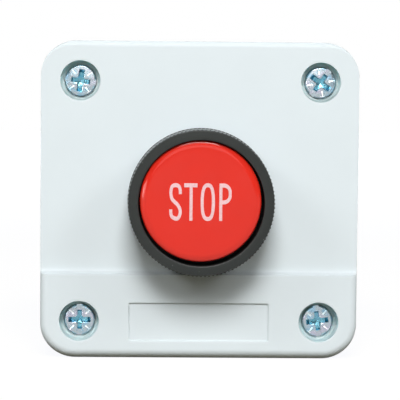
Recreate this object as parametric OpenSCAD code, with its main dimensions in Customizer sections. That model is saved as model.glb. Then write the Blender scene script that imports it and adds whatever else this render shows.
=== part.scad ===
// Pushbutton control station: a square plastic enclosure in two halves, with one flush pushbutton head
// clamped in its lid and one normally closed contact block screwed to its base. The station is drawn as
// it lies on its back, x to the right, y up its face and z out from the wall, and is then stood up, so
// that its face looks along -Y, +Z is up and the origin is the middle of its back. Millimetres.

/* [Enclosure] */
// Width of the enclosure across its face
case_w = 68; // [62:1:90]
// Height of the enclosure
case_h = 68; // [68:1:90]
// Radius of the enclosure's four corners
corner_r = 7.5; // [5:0.5:9]
// Depth of the lid, from the joint to its raised band
lid_d = 14; // [13:0.5:18]
// Thickness of the side walls
wall_t = 2.6; // [2.2:0.1:3.2]
// Thickness of the base's floor
floor_t = 2.6; // [2:0.1:3.2]
// Thickness of the lid's panel round the button
panel_t = 2.6; // [1.5:0.1:3.5]
// Rounding of the base's back edge
back_edge = 1; // [0.4:0.1:1.6]

/* [Lid face] */
// Height of the raised band above the panel
step_h = 1.2; // [0.6:0.1:1.6]
// Gap between the bezel's rim and the edge of the raised band
band_gap = 0.1; // [0.1:0.1:3]
// Rounding of the panel's top edge
panel_top_edge = 1.2; // [0.6:0.1:2]
// Rounding of the band's two side edges
band_side_edge = 1.6; // [0.6:0.1:2]
// Rounding of the band's lower edge
band_low_edge = 2; // [1:0.1:2.4]
// Width of the label recess
label_w = 30; // [20:0.5:34]
// Height of the label recess
label_h = 8.2; // [5:0.1:10]
// Depth of the label recess
label_depth = 0.4; // [0.2:0.1:0.8]
// Width of the sloping lower wall of the label recess
label_slope = 1; // [0.2:0.1:1.5]
// Height of the label recess above the bottom of the enclosure
label_rise = 4; // [3:0.5:5]

/* [Lid screws] */
// Distance of each lid screw from the two sides nearest to it
screw_inset = 8.3; // [7.8:0.1:9.5]
// Diameter of the hole that takes a screw head
counterbore_d = 8.5; // [8:0.1:9]
// Wall of a corner post round that hole
post_wall = 1.2; // [0.8:0.1:1.6]
// Diameter of the screw's thread
screw_d = 3.5; // [3:0.1:4]
// Length of the screw below its head
screw_l = 20; // [16:1:24]
// Diameter of the screw head
screw_head_d = 6.9; // [6.4:0.1:7.4]
// Height of the screw head
screw_head_h = 2.4; // [2:0.1:2.8]
// Depth of the screw head's top below the panel
screw_sink = 1.2; // [0.4:0.1:2]
// Turn of each screw's slot from the horizontal: upper left, upper right, lower left, lower right
slot_turns = [-8, 55, 90, 97];

/* [Seal between lid and base] */
// Width of the groove in the lid's rim
seal_w = 1.2; // [1:0.1:1.4]
// Height of the seal cord
seal_h = 1.2; // [1:0.1:1.6]
// Height of the tongue on the base's rim
tongue_h = 0.8; // [0.5:0.1:1.2]

/* [Wall fixing and cable entries] */
// Distance between the two wall fixing holes
fixing_pitch = 54; // [50:1:56]
// Diameter of a wall fixing hole
fixing_d = 4.5; // [4:0.1:5]
// Diameter of the collar round a wall fixing hole
fixing_collar_d = 8.6; // [8:0.1:9.4]
// Height of that collar above the floor
fixing_collar_h = 2; // [1:0.5:4]
// Diameter of a cable entry's knock-out
entry_d = 20.5; // [16:0.5:22]
// Width of the groove round a knock-out
entry_groove_w = 0.8; // [0.5:0.1:1.2]
// Thickness of the web left under that groove
entry_web = 1; // [0.6:0.1:1.4]

/* [Pushbutton head] */
// Width of the locating notch above the hole
notch_w = 3.2; // [2.6:0.1:4]
// Depth of the locating notch
notch_depth = 1.7; // [1.2:0.1:2.2]
// Diameter of the threaded barrel
barrel_d = 22; // [20:0.5:26]
// Gap round the barrel in the panel's hole
hole_play = 0.25; // [0.15:0.05:0.5]
// Length of the barrel behind its flange
barrel_l = 14.5; // [12:0.5:15.5]
// Thickness of the barrel's wall
barrel_wall = 2; // [1.8:0.1:2.5]
// Thickness of the ledge at the end of the bore
ledge_t = 1.6; // [1:0.1:2]
// Thickness of the barrel's flange
flange_t = 1.2; // [1:0.1:1.4]
// Thickness of the gasket under the bezel
gasket_t = 1; // [0.6:0.1:1.4]
// Thickness of the bezel's wall at its widest
bezel_wall = 2.53; // [2:0.01:4]
// Height of the bezel
bezel_h = 9.7; // [9.4:0.1:12]
// How far the bezel narrows towards its front, on each side
bezel_draft = 0.2; // [0:0.05:0.6]
// Rounding of the bezel's front edge
bezel_edge = 0.3; // [0.2:0.05:0.6]
// Thickness of the bezel's rear lip
lip_t = 1.1; // [0.9:0.1:1.3]
// Thickness of the ring nut's wall
nut_wall = 3.5; // [2.5:0.1:4.5]
// Height of the ring nut
nut_h = 4; // [3:0.5:5]

/* [Button] */
// How far the button cap reaches past the barrel, on each side
cap_over = 1.65; // [1.5:0.05:2.5]
// Gap round the cap
cap_gap = 0.32; // [0.25:0.01:0.5]
// Depth of the cap's face below the bezel's front
cap_sink = 0.6; // [0.2:0.1:0.8]
// Thickness of the cap's face
cap_t = 1.2; // [1:0.1:1.4]
// Rounding of the cap's edge
cap_edge = 0.8; // [0.3:0.1:1]
// Travel of the button from rest to its stop
travel = 4.3; // [3.5:0.1:4.5]
// Room for the return spring between the pusher's stem and the barrel
spring_room = 2.6; // [2.3:0.1:3.4]
// Thickness of the pusher's guide disc
guide_t = 2; // [1.5:0.1:2.5]
// Wire diameter of the return spring
return_wire = 0.9; // [0.7:0.05:1]
// Turns of the return spring
return_turns = 4; // [3:1:5]

/* [Contact block] */
// Width of the contact bridge
bridge_w = 5; // [4.4:0.1:6]
// Distance between the two contact tips of a pair
tip_pitch = 15.6; // [14:0.1:17.6]
// Length of a terminal's pocket
pocket_l = 6.3; // [5.6:0.1:7]
// Height of the contact block
block_h = 24; // [23:0.5:27]
// Height of the bosses that carry it above the floor
block_rise = 3.4; // [2.4:0.1:9]
// Thickness of its base plate
plate_t = 2; // [1.6:0.1:2.4]
// Thickness of its side walls
block_wall = 1.8; // [1.2:0.1:2.2]
// Thickness of its roof
roof_t = 3.8; // [3:0.1:4.2]
// Diameter of the plunger's rod
rod_d = 5; // [4:0.1:6]
// Share of the button's travel by which the bridge is lifted off the fixed contacts
lift_share = 0.65; // [0.5:0.05:0.7]
// Width of a fixed contact strip
strip_w = 6; // [5:0.1:7]
// Thickness of a fixed contact strip and of the bridge
strip_t = 0.8; // [0.6:0.05:1]
// Diameter of a contact tip
tip_d = 3; // [2.4:0.1:3.6]
// Thickness of a contact tip
tip_t = 0.7; // [0.5:0.05:0.9]
// Wire diameter of the plunger's spring
plunger_wire = 0.6; // [0.4:0.05:0.6]
// Turns of the plunger's spring
plunger_turns = 4; // [3:1:4]
// Wire diameter of the bridge's spring
bridge_wire = 0.45; // [0.3:0.05:0.5]
// Turns of the bridge's spring
bridge_turns = 3; // [3:1:4]
// Diameter of the terminal screws
terminal_d = 3.5; // [3:0.1:3.6]
// Diameter of the two screws that hold the block to the base
block_screw_d = 2.9; // [2.5:0.1:3.2]
// Distance of each of those screws from the block's side
block_screw_out = 3.6; // [3.4:0.1:5]

/* [Hidden] */
$fn = 64;

// Overrun of every cut past the face that it starts from
over = 1;
// Steps of a quarter round in an outline
arc_steps = 6;
// Sides of a spring's wire, and rings of one turn of it
wire_sides = 6;
turn_rings = 8;
// Gap between neighbours that move past each other, without touching
run_gap = 0.3;
// Radial clearance of a shaft in its bore, and of a thread in its hole
fit_gap = 0.05;

// How far the rod stays out of the block when it is pressed, and the pusher's stem out of its clip
rod_rest = 1.7;
rod_reach = travel + rod_rest;
clip_t = 1.1;
stem_reach = 2.3;

// Heights above the wall, from the floor through the contact block and the head to the button's face
z_block = floor_t + block_rise;
block_top = z_block + block_h;
z_tip = block_top + rod_reach;
barrel_end = z_tip + stem_reach + clip_t;
z_flange = barrel_end + barrel_l;
z_collar = z_flange + flange_t;
z_head = z_flange - lip_t;
z_front = z_head + bezel_h;
z_cap = z_front - cap_sink;
z_panel = z_head - gasket_t;
z_band = z_panel + step_h;
z_seam = z_band - lid_d;
z_panel_in = z_panel - panel_t;

// Diameters in the head, each from the barrel's
hole_d = barrel_d + 2 * hole_play;
barrel_bore_d = barrel_d - 2 * barrel_wall;
stem_d = barrel_bore_d - 2 * spring_room;
cap_d = barrel_d + 2 * cap_over;
bezel_bore_d = cap_d + 2 * cap_gap;
bezel_d = bezel_bore_d + 2 * bezel_wall;
nut_d = barrel_d + 2 * nut_wall;

// The foot of the concave fillet under the raised band, and the band's edge
band_y = -(bezel_d / 2 + band_gap);
foot_y = band_y + step_h;

// Lid screws
screw_x = case_w / 2 - screw_inset;
screw_y = case_h / 2 - screw_inset;
post_r = counterbore_d / 2 + post_wall;
z_seat = z_panel - screw_sink - screw_head_h;
screw_hole_d = screw_d * 1.1;
pilot_over = screw_d / 3;
recess_w = screw_head_d * 0.16;
recess_l = screw_head_d * 0.62;
recess_depth = screw_head_h * 0.62;
slot_depth = screw_head_h * 0.3;

// Seal
seal_inset = (wall_t - seal_w) / 2;
seal_play = 0.1;

// Head
flange_play = 0.22;
flange_d = bezel_bore_d - 2 * flange_play;
lip_bore_d = barrel_d + 4 * fit_gap;
bezel_chamfer = lip_t / 2;
gasket_play = 0.2;
gasket_r = -foot_y - gasket_play;
key_gap = 0.2;
thread_pitch = 1.5;
thread_depth = 0.5;
nut_grips = 8;
nut_grip_w = nut_d * 0.1;
nut_grip_depth = nut_d * 0.035;

// Button: the cap's skirt stops just short of the flange when it is pressed
skirt_end = z_collar + travel + run_gap;
cap_in = z_cap - cap_t;
cap_skirt_t = 1.2;
boss_d = stem_d * 0.62;
boss_l = 4;
seal_top = cap_in - travel - run_gap;
seal_od = cap_d - 2 * cap_skirt_t - 2 * run_gap;
guide_d = barrel_bore_d - 2 * fit_gap;
stem_bore_d = stem_d + 2 * fit_gap;
spring_seat = barrel_end + ledge_t;
guide_top = z_collar - run_gap - ledge_t / 2;
guide_low = guide_top - guide_t;
return_mean_d = (barrel_bore_d + stem_d) / 2;
clip_rim = 1.8;
clip_groove_depth = 0.8;
clip_d = stem_d + 2 * clip_rim;
clip_groove_d = stem_d - 2 * clip_groove_depth;
clip_mouth_w = clip_groove_d * 0.8;

// Contact block, whose width follows from the bridge's, through the plunger's window and the chamber
bridge_play = 0.25;
window_w = bridge_w + 2 * bridge_play;
body_side = 1.35;
body_w = window_w + 2 * body_side;
body_play = 1.1;
chamber_w = body_w + 2 * body_play;
block_w = chamber_w + 2 * block_wall;
plate_top = z_block + plate_t;
roof_low = block_top - roof_t;
partition_t = 1.2;
tip_inset = 2.7;
chamber_l = tip_pitch + 2 * tip_inset;
block_l = chamber_l + 2 * (partition_t + pocket_l);
pocket_wall = 2.4;
pocket_w = block_w - 2 * pocket_wall;
spigot_h = 0.8;

// Contact plunger: its rod, and a body with a window that holds the bridge and its spring
body_l = 6.8;
body_top = roof_low - run_gap;
body_cap_t = 1;
window_top = body_top - body_cap_t;
lift = travel * lift_share;
lost_motion = travel - lift + 2 * fit_gap;
bridge_top = window_top - lost_motion;
bridge_low = bridge_top - strip_t;
plunger_solid = (plunger_turns + 1) * plunger_wire;
body_low = plate_top + travel + plunger_solid + 3 * run_gap;
body_floor_t = 1.2;
window_low = body_low + body_floor_t;
plunger_mean_d = 4.8;
bridge_mean_d = 3.4;
peg_d = plunger_mean_d - plunger_wire - 2 * run_gap;
peg_h = 1.2;

// Contacts, which lie along y to each side of the plunger
strip_low = bridge_top + 2 * tip_t;
strip_top = strip_low + strip_t;
tip_y = tip_pitch / 2;
bridge_l = tip_pitch + tip_d;
strip_in = tip_y - tip_d * 0.6;
strip_inset = 0.8;
strip_out = block_l / 2 - strip_inset;
collar_h = 1.4;
collar_wall = 0.9;
collar_d = terminal_d + 2 * collar_wall;
clamp_play = 1.1;
clamp_w = pocket_w - 2 * clamp_play;
clamp_t = 1;
terminal_play = 0.4;
terminal_head_d = terminal_d * 1.55;
clamp_l = terminal_head_d * 0.96;
terminal_y = chamber_l / 2 + partition_t + terminal_play + terminal_head_d / 2;
terminal_head_h = 2;
terminal_l = 7;
pocket_low = strip_low - terminal_l;

// Fixing of the block to the base
block_screw_x = block_w / 2 + block_screw_out;
lug_l = 7;
block_hole_d = block_screw_d + run_gap;
block_head_d = block_screw_d * 1.8;
block_head_h = block_screw_d * 0.6;
base_web = 1.4;
rib_w = 2;
rib_inset = 3;
rib_y = block_l / 2 - rib_inset;

// Cable entries
entry_z = (z_seam + floor_t) / 2;

// Points of a rectangle with round corners, centred on the origin, anticlockwise
function round_rect(w, h, r) = [
    for (quarter = [0:3]) for (i = [0:arc_steps])
        let (angle = 90 * (quarter + i / arc_steps),
             x = (quarter == 0 || quarter == 3 ? 1 : -1) * (w / 2 - r),
             y = (quarter < 2 ? 1 : -1) * (h / 2 - r))
        [x + r * cos(angle), y + r * sin(angle)]];

// Points of an arc about a centre, from one angle to another
function arc(x, y, r, from, to) = [
    for (i = [0:arc_steps])
        let (angle = from + (to - from) * i / arc_steps)
        [x + r * cos(angle), y + r * sin(angle)]];

// Stands the station up, from lying on its back
module stand() {
    rotate([90, 0, 0]) children();
}

// A plate of the enclosure's outline, drawn in by an inset, from one height to another
module outline_plate(inset, low, high) {
    translate([0, 0, low])
        linear_extrude(high - low)
            polygon(round_rect(case_w - 2 * inset, case_h - 2 * inset, corner_r - inset));
}

// A band of the enclosure's outline between two insets
module outline_ring(outer_inset, inner_inset, low, high) {
    difference() {
        outline_plate(outer_inset, low, high);
        outline_plate(inner_inset, low - over, high + over);
    }
}

// One corner of the enclosure that stays solid round a lid screw
module corner_post_outline() {
    polygon(concat(
        [[case_w / 2, screw_y - post_r], [case_w / 2, case_h / 2], [screw_x - post_r, case_h / 2]],
        arc(screw_x, screw_y, post_r, 180, 270)));
}

// The hollow of the enclosure, which leaves the corner posts standing
module hollow(low, high) {
    translate([0, 0, low])
        linear_extrude(high - low)
            difference() {
                polygon(round_rect(case_w - 2 * wall_t, case_h - 2 * wall_t, corner_r - wall_t));
                for (sx = [0, 1]) for (sy = [0, 1])
                    mirror([sx, 0, 0]) mirror([0, sy, 0]) corner_post_outline();
            }
}

// Places what it is given at the four lid screws, each with its own number
module at_lid_screws() {
    for (sx = [-1, 1]) for (sy = [1, -1])
        translate([sx * screw_x, sy * screw_y, 0]) {
            $corner = (sy > 0 ? 0 : 2) + (sx > 0 ? 1 : 0);
            children();
        }
}

// A closed skin through rings of points that lie one above the other, from the lowest ring up
module loft(rings) {
    count = len(rings[0]);
    last = len(rings) - 1;
    sides = [
        for (i = [0:last - 1]) for (k = [0:count - 1])
            let (a = i * count + k, b = i * count + (k + 1) % count)
            each [[a, a + count, b], [b, a + count, b + count]]];
    bottom = [for (k = [1:count - 2]) [0, k, k + 1]];
    top = [for (k = [1:count - 2]) [0, k + 1, k] + last * count * [1, 1, 1]];
    polyhedron([for (ring = rings) each ring], concat(sides, bottom, top));
}

// One ring of the enclosure's skin: its outline, drawn in by two insets, at a height
function skin_ring(side_inset, end_inset, z) = [
    for (point = round_rect(case_w - 2 * side_inset, case_h - 2 * end_inset, corner_r - side_inset))
        [point[0], point[1], z]];

// The base's skin, with its rounded back edge
module base_skin() {
    loft(concat(
        [for (i = [0:arc_steps])
            let (drawn = back_edge * (1 - sin(90 * i / arc_steps)))
            skin_ring(drawn, drawn, back_edge * (1 - cos(90 * i / arc_steps)))],
        [skin_ring(0, 0, z_seam)]));
}

// The lid's skin, as high as its raised band all over, with the band's rounded edges
module lid_skin() {
    loft(concat(
        [skin_ring(0, 0, z_seam)],
        [for (i = [0:arc_steps])
            let (drawn = 1 - cos(90 * i / arc_steps))
            skin_ring(band_side_edge * drawn, band_low_edge * drawn,
                      z_band - band_low_edge * (1 - sin(90 * i / arc_steps)))]));
}

// What is taken off the lid above its panel: it leaves the panel's rounded top edge, and the concave
// fillet up to the edge of the raised band
module above_panel() {
    top = case_h / 2;
    translate([-case_w, 0, 0])
        rotate([90, 0, 90])
            linear_extrude(2 * case_w)
                polygon(concat(
                    [[case_h, z_band + over], [case_h, z_panel - panel_top_edge]],
                    arc(top - panel_top_edge, z_panel - panel_top_edge, panel_top_edge, 0, 90),
                    arc(foot_y, z_panel + step_h, step_h, 270, 180),
                    [[band_y, z_band + over]]));
}

// The round hole of the head with its notch, cut through a plate
module head_hole(d, notch, low, high) {
    translate([0, 0, low]) cylinder(d = d, h = high - low);
    translate([-notch / 2, 0, low]) cube([notch, hole_d / 2 + notch_depth, high - low]);
}

// A block with a sloping lower wall, which the label recess takes out of the band
module label_recess() {
    low = -case_h / 2 + label_rise;
    high = low + label_h;
    translate([-label_w / 2, 0, 0])
        rotate([90, 0, 90])
            linear_extrude(label_w)
                polygon([[low, z_band], [low + label_slope, z_band - label_depth],
                         [high, z_band - label_depth], [high, z_band + over], [low, z_band + over]]);
}

// A knock-out's round groove in the wall at the top of the enclosure
module knock_out_groove() {
    translate([0, case_h / 2 + over, entry_z])
        rotate([90, 0, 0])
            difference() {
                cylinder(d = entry_d, h = over + wall_t - entry_web);
                translate([0, 0, -over])
                    cylinder(d = entry_d - 2 * entry_groove_w, h = wall_t + 3 * over);
            }
}

module base() {
    color([0.89, 0.92, 0.92]) stand() {
        difference() {
            union() {
                difference() {
                    base_skin();
                    hollow(floor_t, z_seam + over);
                }
                // Collars round the wall fixing holes, run into the end walls
                for (sy = [0, 1]) mirror([0, sy, 0]) {
                    translate([0, fixing_pitch / 2, floor_t / 2])
                        cylinder(d = fixing_collar_d, h = floor_t / 2 + fixing_collar_h);
                    translate([-fixing_d / 2, fixing_pitch / 2, floor_t / 2])
                        cube([fixing_d, (case_h - wall_t - fixing_pitch) / 2,
                              floor_t / 2 + fixing_collar_h]);
                }
                // Bosses under the block's two lugs, and ribs under its ends
                for (sx = [-1, 1]) translate([sx * block_screw_x, 0, floor_t / 2])
                    cylinder(d = lug_l - 2 * run_gap, h = z_block - floor_t / 2);
                for (sy = [-1, 1]) translate([-block_w / 2, sy * rib_y - rib_w / 2, floor_t / 2])
                    cube([block_w, rib_w, z_block - floor_t / 2]);
                outline_ring(seal_inset + seal_play, wall_t - seal_inset - seal_play,
                             z_seam - tongue_h, z_seam + tongue_h);
            }
            for (sy = [-1, 1]) translate([0, sy * fixing_pitch / 2, -over])
                cylinder(d = fixing_d, h = floor_t + fixing_collar_h + 2 * over);
            for (sx = [-1, 1]) translate([sx * block_screw_x, 0, base_web])
                cylinder(d = block_screw_d + 2 * fit_gap, h = z_block);
            at_lid_screws()
                translate([0, 0, z_seat - screw_l - pilot_over])
                    cylinder(d = screw_d + 2 * fit_gap, h = z_seam);
            for (sy = [0, 1]) mirror([0, sy, 0]) knock_out_groove();
        }
    }
}

module lid() {
    color([0.89, 0.92, 0.92]) stand() {
        difference() {
            lid_skin();
            above_panel();
            hollow(z_seam - over, z_panel_in);
            outline_ring(seal_inset, wall_t - seal_inset, z_seam - over, z_seam + tongue_h + seal_h);
            head_hole(hole_d, notch_w, z_panel_in - over, z_band + over);
            label_recess();
            at_lid_screws() {
                translate([0, 0, z_seat]) cylinder(d = counterbore_d, h = z_band);
                translate([0, 0, z_seam - over]) cylinder(d = screw_hole_d, h = z_band);
            }
        }
    }
}

module lid_gasket() {
    color([0.12, 0.12, 0.12]) stand()
        outline_ring(seal_inset + seal_play, wall_t - seal_inset - seal_play,
                     z_seam + tongue_h, z_seam + tongue_h + seal_h);
}

// A pan head with a slot and a cross recess, standing on z = 0, its slot along x
module screw_head(d, h, cross_l, cross_w, cross_depth, groove_depth) {
    dome = h / 4;
    difference() {
        union() {
            cylinder(d = d, h = h - dome);
            translate([0, 0, h - dome]) cylinder(d1 = d, d2 = d - 2 * dome, h = dome);
        }
        translate([-d, -cross_w / 2, h - groove_depth]) cube([2 * d, cross_w, h]);
        if (cross_l > 0)
            for (turn = [0, 90]) rotate(turn)
                translate([-cross_l / 2, -cross_w / 2, h - cross_depth]) cube([cross_l, cross_w, h]);
    }
}

module lid_screws() {
    color([0.76, 0.8, 0.83]) stand()
        at_lid_screws() {
            translate([0, 0, z_seat]) rotate(slot_turns[$corner])
                screw_head(screw_head_d, screw_head_h, recess_l, recess_w, recess_depth, slot_depth);
            translate([0, 0, z_seat - screw_l + screw_d]) cylinder(d = screw_d, h = screw_l - screw_d);
            translate([0, 0, z_seat - screw_l]) cylinder(d1 = screw_d / 4, d2 = screw_d, h = screw_d);
        }
}

module head_gasket() {
    color([0.15, 0.15, 0.15]) stand()
        difference() {
            translate([0, 0, z_panel]) cylinder(r = gasket_r, h = gasket_t);
            head_hole(lip_bore_d, notch_w, z_panel - over, z_head + over);
        }
}

module bezel() {
    rear_r = bezel_d / 2;
    front_r = rear_r - bezel_draft;
    bore_r = bezel_bore_d / 2;
    color([0.24, 0.26, 0.25]) stand()
        rotate_extrude()
            polygon(concat(
                [[lip_bore_d / 2, z_head], [rear_r - bezel_chamfer, z_head],
                 [rear_r, z_head + bezel_chamfer]],
                arc(front_r - bezel_edge, z_front - bezel_edge, bezel_edge, 0, 90),
                [[bore_r + bezel_edge / 2, z_front], [bore_r, z_front - bezel_edge / 2],
                 [bore_r, z_flange], [lip_bore_d / 2, z_flange]]));
}

module head_barrel() {
    color([0.16, 0.16, 0.17]) stand()
        difference() {
            union() {
                translate([0, 0, barrel_end]) cylinder(d = barrel_d, h = barrel_l);
                translate([0, 0, z_flange]) cylinder(d = flange_d, h = flange_t);
                // The key that stops the head from turning in the panel
                translate([-notch_w / 2 + key_gap, barrel_bore_d / 2, z_panel_in])
                    cube([notch_w - 2 * key_gap,
                          hole_d / 2 + notch_depth - key_gap - barrel_bore_d / 2, z_head - z_panel_in]);
            }
            translate([0, 0, spring_seat]) cylinder(d = barrel_bore_d, h = z_collar);
            translate([0, 0, barrel_end - over]) cylinder(d = stem_bore_d, h = z_collar);
            // The thread's grooves, from the barrel's end to the panel
            for (z = [barrel_end + thread_pitch : thread_pitch : z_panel_in - thread_pitch / 2])
                translate([0, 0, z])
                    rotate_extrude()
                        polygon([[barrel_d / 2 - thread_depth, 0], [barrel_d / 2 + fit_gap, -thread_depth],
                                 [barrel_d / 2 + fit_gap, thread_depth]]);
        }
}

module fixing_nut() {
    color([0.2, 0.2, 0.21]) stand()
        translate([0, 0, z_panel_in - nut_h])
            difference() {
                cylinder(d = nut_d, h = nut_h);
                translate([0, 0, -over]) cylinder(d = barrel_d + 2 * fit_gap, h = nut_h + 2 * over);
                for (i = [0:nut_grips - 1]) rotate(360 * i / nut_grips)
                    translate([nut_d / 2 - nut_grip_depth, -nut_grip_w / 2, -over])
                        cube([nut_grip_depth + over, nut_grip_w, nut_h + 2 * over]);
            }
}

module wiper_seal() {
    color([0.1, 0.1, 0.1]) stand()
        difference() {
            translate([0, 0, z_collar]) cylinder(d = seal_od, h = seal_top - z_collar);
            translate([0, 0, z_collar - over]) cylinder(d = stem_bore_d, h = seal_top);
        }
}

module button_cap() {
    rim = cap_d / 2;
    color([0.87, 0.18, 0.13]) stand()
        rotate_extrude()
            polygon(concat(
                [[0, cap_in - boss_l], [boss_d / 2, cap_in - boss_l], [boss_d / 2, cap_in],
                 [rim - cap_skirt_t, cap_in], [rim - cap_skirt_t, skirt_end], [rim, skirt_end]],
                arc(rim - cap_edge, z_cap - cap_edge, cap_edge, 0, 90),
                [[0, z_cap]]));
}

module pusher() {
    color([0.9, 0.88, 0.8]) stand()
        difference() {
            union() {
                translate([0, 0, z_tip]) cylinder(d = stem_d, h = cap_in - z_tip);
                translate([0, 0, guide_low]) cylinder(d = guide_d, h = guide_t);
            }
            translate([0, 0, cap_in - boss_l - run_gap])
                cylinder(d = boss_d + 2 * fit_gap, h = boss_l + run_gap + over);
            // Groove for the clip
            translate([0, 0, barrel_end - clip_t])
                difference() {
                    cylinder(d = stem_d + over, h = clip_t);
                    translate([0, 0, -over]) cylinder(d = clip_groove_d, h = clip_t + 2 * over);
                }
        }
}

module retaining_clip() {
    color([0.75, 0.75, 0.77]) stand()
        translate([0, 0, barrel_end - clip_t])
            difference() {
                cylinder(d = clip_d, h = clip_t);
                translate([0, 0, -over]) cylinder(d = clip_groove_d + 2 * fit_gap, h = clip_t + 2 * over);
                translate([-clip_mouth_w / 2, 0, -over]) cube([clip_mouth_w, clip_d, clip_t + 2 * over]);
            }
}

// Middle points of a spring's wire, from its seat up to its length
function coil_path(mean_d, wire, length, turns) = [
    for (i = [0:turns * turn_rings])
        let (angle = 360 * i / turn_rings)
        [mean_d / 2 * cos(angle), mean_d / 2 * sin(angle),
         wire / 2 + (length - wire) * i / (turns * turn_rings)]];

// One ring of the wire's surface: it lies in the plane through the spring's axis
function wire_ring(point, wire) =
    let (away = [point[0], point[1], 0] / norm([point[0], point[1], 0]))
    [for (k = [0:wire_sides - 1])
        let (angle = 360 * k / wire_sides)
        point + wire / 2 * (cos(angle) * away + [0, 0, sin(angle)])];

// Least gap between the wire and itself, measured between rings half a turn or more apart
function least_gap(path, wire) = min([
    for (i = [0:len(path) - 1]) for (j = [i + turn_rings / 2:1:len(path) - 1])
        norm(path[i] - path[j]) - wire]);

// A coil spring as one tube, from z = 0 up to its length
module coil_spring(mean_d, wire, length, turns) {
    path = coil_path(mean_d, wire, length, turns);
    last = len(path) - 1;
    points = [for (point = path) each wire_ring(point, wire)];
    sides = [
        for (i = [0:last - 1]) for (k = [0:wire_sides - 1])
            let (a = i * wire_sides + k, b = i * wire_sides + (k + 1) % wire_sides)
            each [[a, a + wire_sides, b], [b, a + wire_sides, b + wire_sides]]];
    start = [for (k = [1:wire_sides - 2]) [0, k, k + 1]];
    finish = [for (k = [1:wire_sides - 2]) [0, k + 1, k] + last * wire_sides * [1, 1, 1]];
    echo(least_gap = least_gap(path, wire));
    polyhedron(points, concat(sides, start, finish));
}

module return_spring() {
    color([0.7, 0.72, 0.74]) stand()
        translate([0, 0, spring_seat])
            coil_spring(return_mean_d, return_wire, guide_low - spring_seat, return_turns);
}

module block_base() {
    color([0.75, 0.75, 0.72]) stand()
        difference() {
            union() {
                translate([-block_w / 2, -block_l / 2, z_block]) cube([block_w, block_l, plate_t]);
                translate([-block_screw_x, -lug_l / 2, z_block])
                    cube([2 * block_screw_x, lug_l, plate_t]);
                for (sx = [-1, 1]) translate([sx * block_screw_x, 0, z_block])
                    cylinder(d = lug_l, h = plate_t);
                translate([-chamber_w / 2 + fit_gap, -chamber_l / 2 + fit_gap, z_block])
                    cube([chamber_w - 2 * fit_gap, chamber_l - 2 * fit_gap, plate_t + spigot_h]);
            }
            // A well in the spigot for the plunger's spring, with a peg that centres it
            difference() {
                translate([0, 0, plate_top])
                    cylinder(d = plunger_mean_d + plunger_wire + 2 * run_gap, h = spigot_h + over);
                cylinder(d = peg_d, h = plate_top + peg_h);
            }
            for (sx = [-1, 1]) translate([sx * block_screw_x, 0, z_block - over])
                cylinder(d = block_hole_d, h = plate_t + 2 * over);
        }
}

module block_housing() {
    color([0.2, 0.21, 0.22]) stand()
        difference() {
            translate([-block_w / 2, -block_l / 2, plate_top])
                cube([block_w, block_l, block_top - plate_top]);
            translate([-chamber_w / 2, -chamber_l / 2, plate_top - over])
                cube([chamber_w, chamber_l, roof_low - plate_top + over]);
            translate([0, 0, roof_low - over]) cylinder(d = rod_d + 2 * fit_gap, h = roof_t + 2 * over);
            for (sy = [0, 1]) mirror([0, sy, 0]) {
                // Terminal pocket, open at its end and in front, and the strip's slot into the chamber
                translate([-pocket_w / 2, block_l / 2 - pocket_l, pocket_low])
                    cube([pocket_w, pocket_l + over, block_top - pocket_low + over]);
                translate([-strip_w / 2 - fit_gap, chamber_l / 2 - over, strip_low])
                    cube([strip_w + 2 * fit_gap, partition_t + 2 * over, strip_t + fit_gap]);
            }
        }
}

module block_screws() {
    length = plate_t + z_block - base_web - 2 * run_gap;
    color([0.76, 0.8, 0.83]) stand()
        for (sx = [-1, 1]) translate([sx * block_screw_x, 0, plate_top]) {
            screw_head(block_head_d, block_head_h, 0, block_head_d * 0.16, 0, block_head_h * 0.5);
            translate([0, 0, -length]) cylinder(d = block_screw_d, h = length);
        }
}

module contact_plunger() {
    color([0.82, 0.16, 0.12]) stand()
        difference() {
            union() {
                translate([-body_w / 2, -body_l / 2, body_low]) cube([body_w, body_l, body_top - body_low]);
                translate([0, 0, window_top]) cylinder(d = rod_d, h = z_tip - window_top);
            }
            translate([-window_w / 2, -body_l, window_low])
                cube([window_w, 2 * body_l, window_top - window_low]);
        }
}

module plunger_spring() {
    color([0.7, 0.72, 0.74]) stand()
        translate([0, 0, plate_top])
            coil_spring(plunger_mean_d, plunger_wire, body_low - plate_top, plunger_turns);
}

module contact_bridge() {
    color([0.8, 0.6, 0.35]) stand()
        translate([-bridge_w / 2, -bridge_l / 2, bridge_low]) cube([bridge_w, bridge_l, strip_t]);
}

// The two round contact tips on a level
module tip_pair(z) {
    for (sy = [-1, 1]) translate([0, sy * tip_y, z]) cylinder(d = tip_d, h = tip_t);
}

module bridge_tips() {
    color([0.86, 0.87, 0.88]) stand() tip_pair(bridge_top);
}

module bridge_spring() {
    color([0.7, 0.72, 0.74]) stand()
        translate([0, 0, window_low])
            coil_spring(bridge_mean_d, bridge_wire, bridge_low - window_low, bridge_turns);
}

// The fixed contact on the +y side: a flat strip with a tapped collar under its terminal screw
module fixed_contact() {
    difference() {
        union() {
            translate([-strip_w / 2, strip_in, strip_low]) cube([strip_w, strip_out - strip_in, strip_t]);
            translate([0, terminal_y, strip_low - collar_h]) cylinder(d = collar_d, h = collar_h + strip_t);
        }
        translate([0, terminal_y, strip_low - collar_h - over])
            cylinder(d = terminal_d + 2 * fit_gap, h = collar_h + strip_t + 2 * over);
    }
}

module fixed_contact_upper() {
    color([0.8, 0.65, 0.35]) stand() fixed_contact();
}

module fixed_contact_lower() {
    color([0.8, 0.65, 0.35]) stand() mirror([0, 1, 0]) fixed_contact();
}

module fixed_tips() {
    color([0.86, 0.87, 0.88]) stand() tip_pair(strip_low - tip_t);
}

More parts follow.
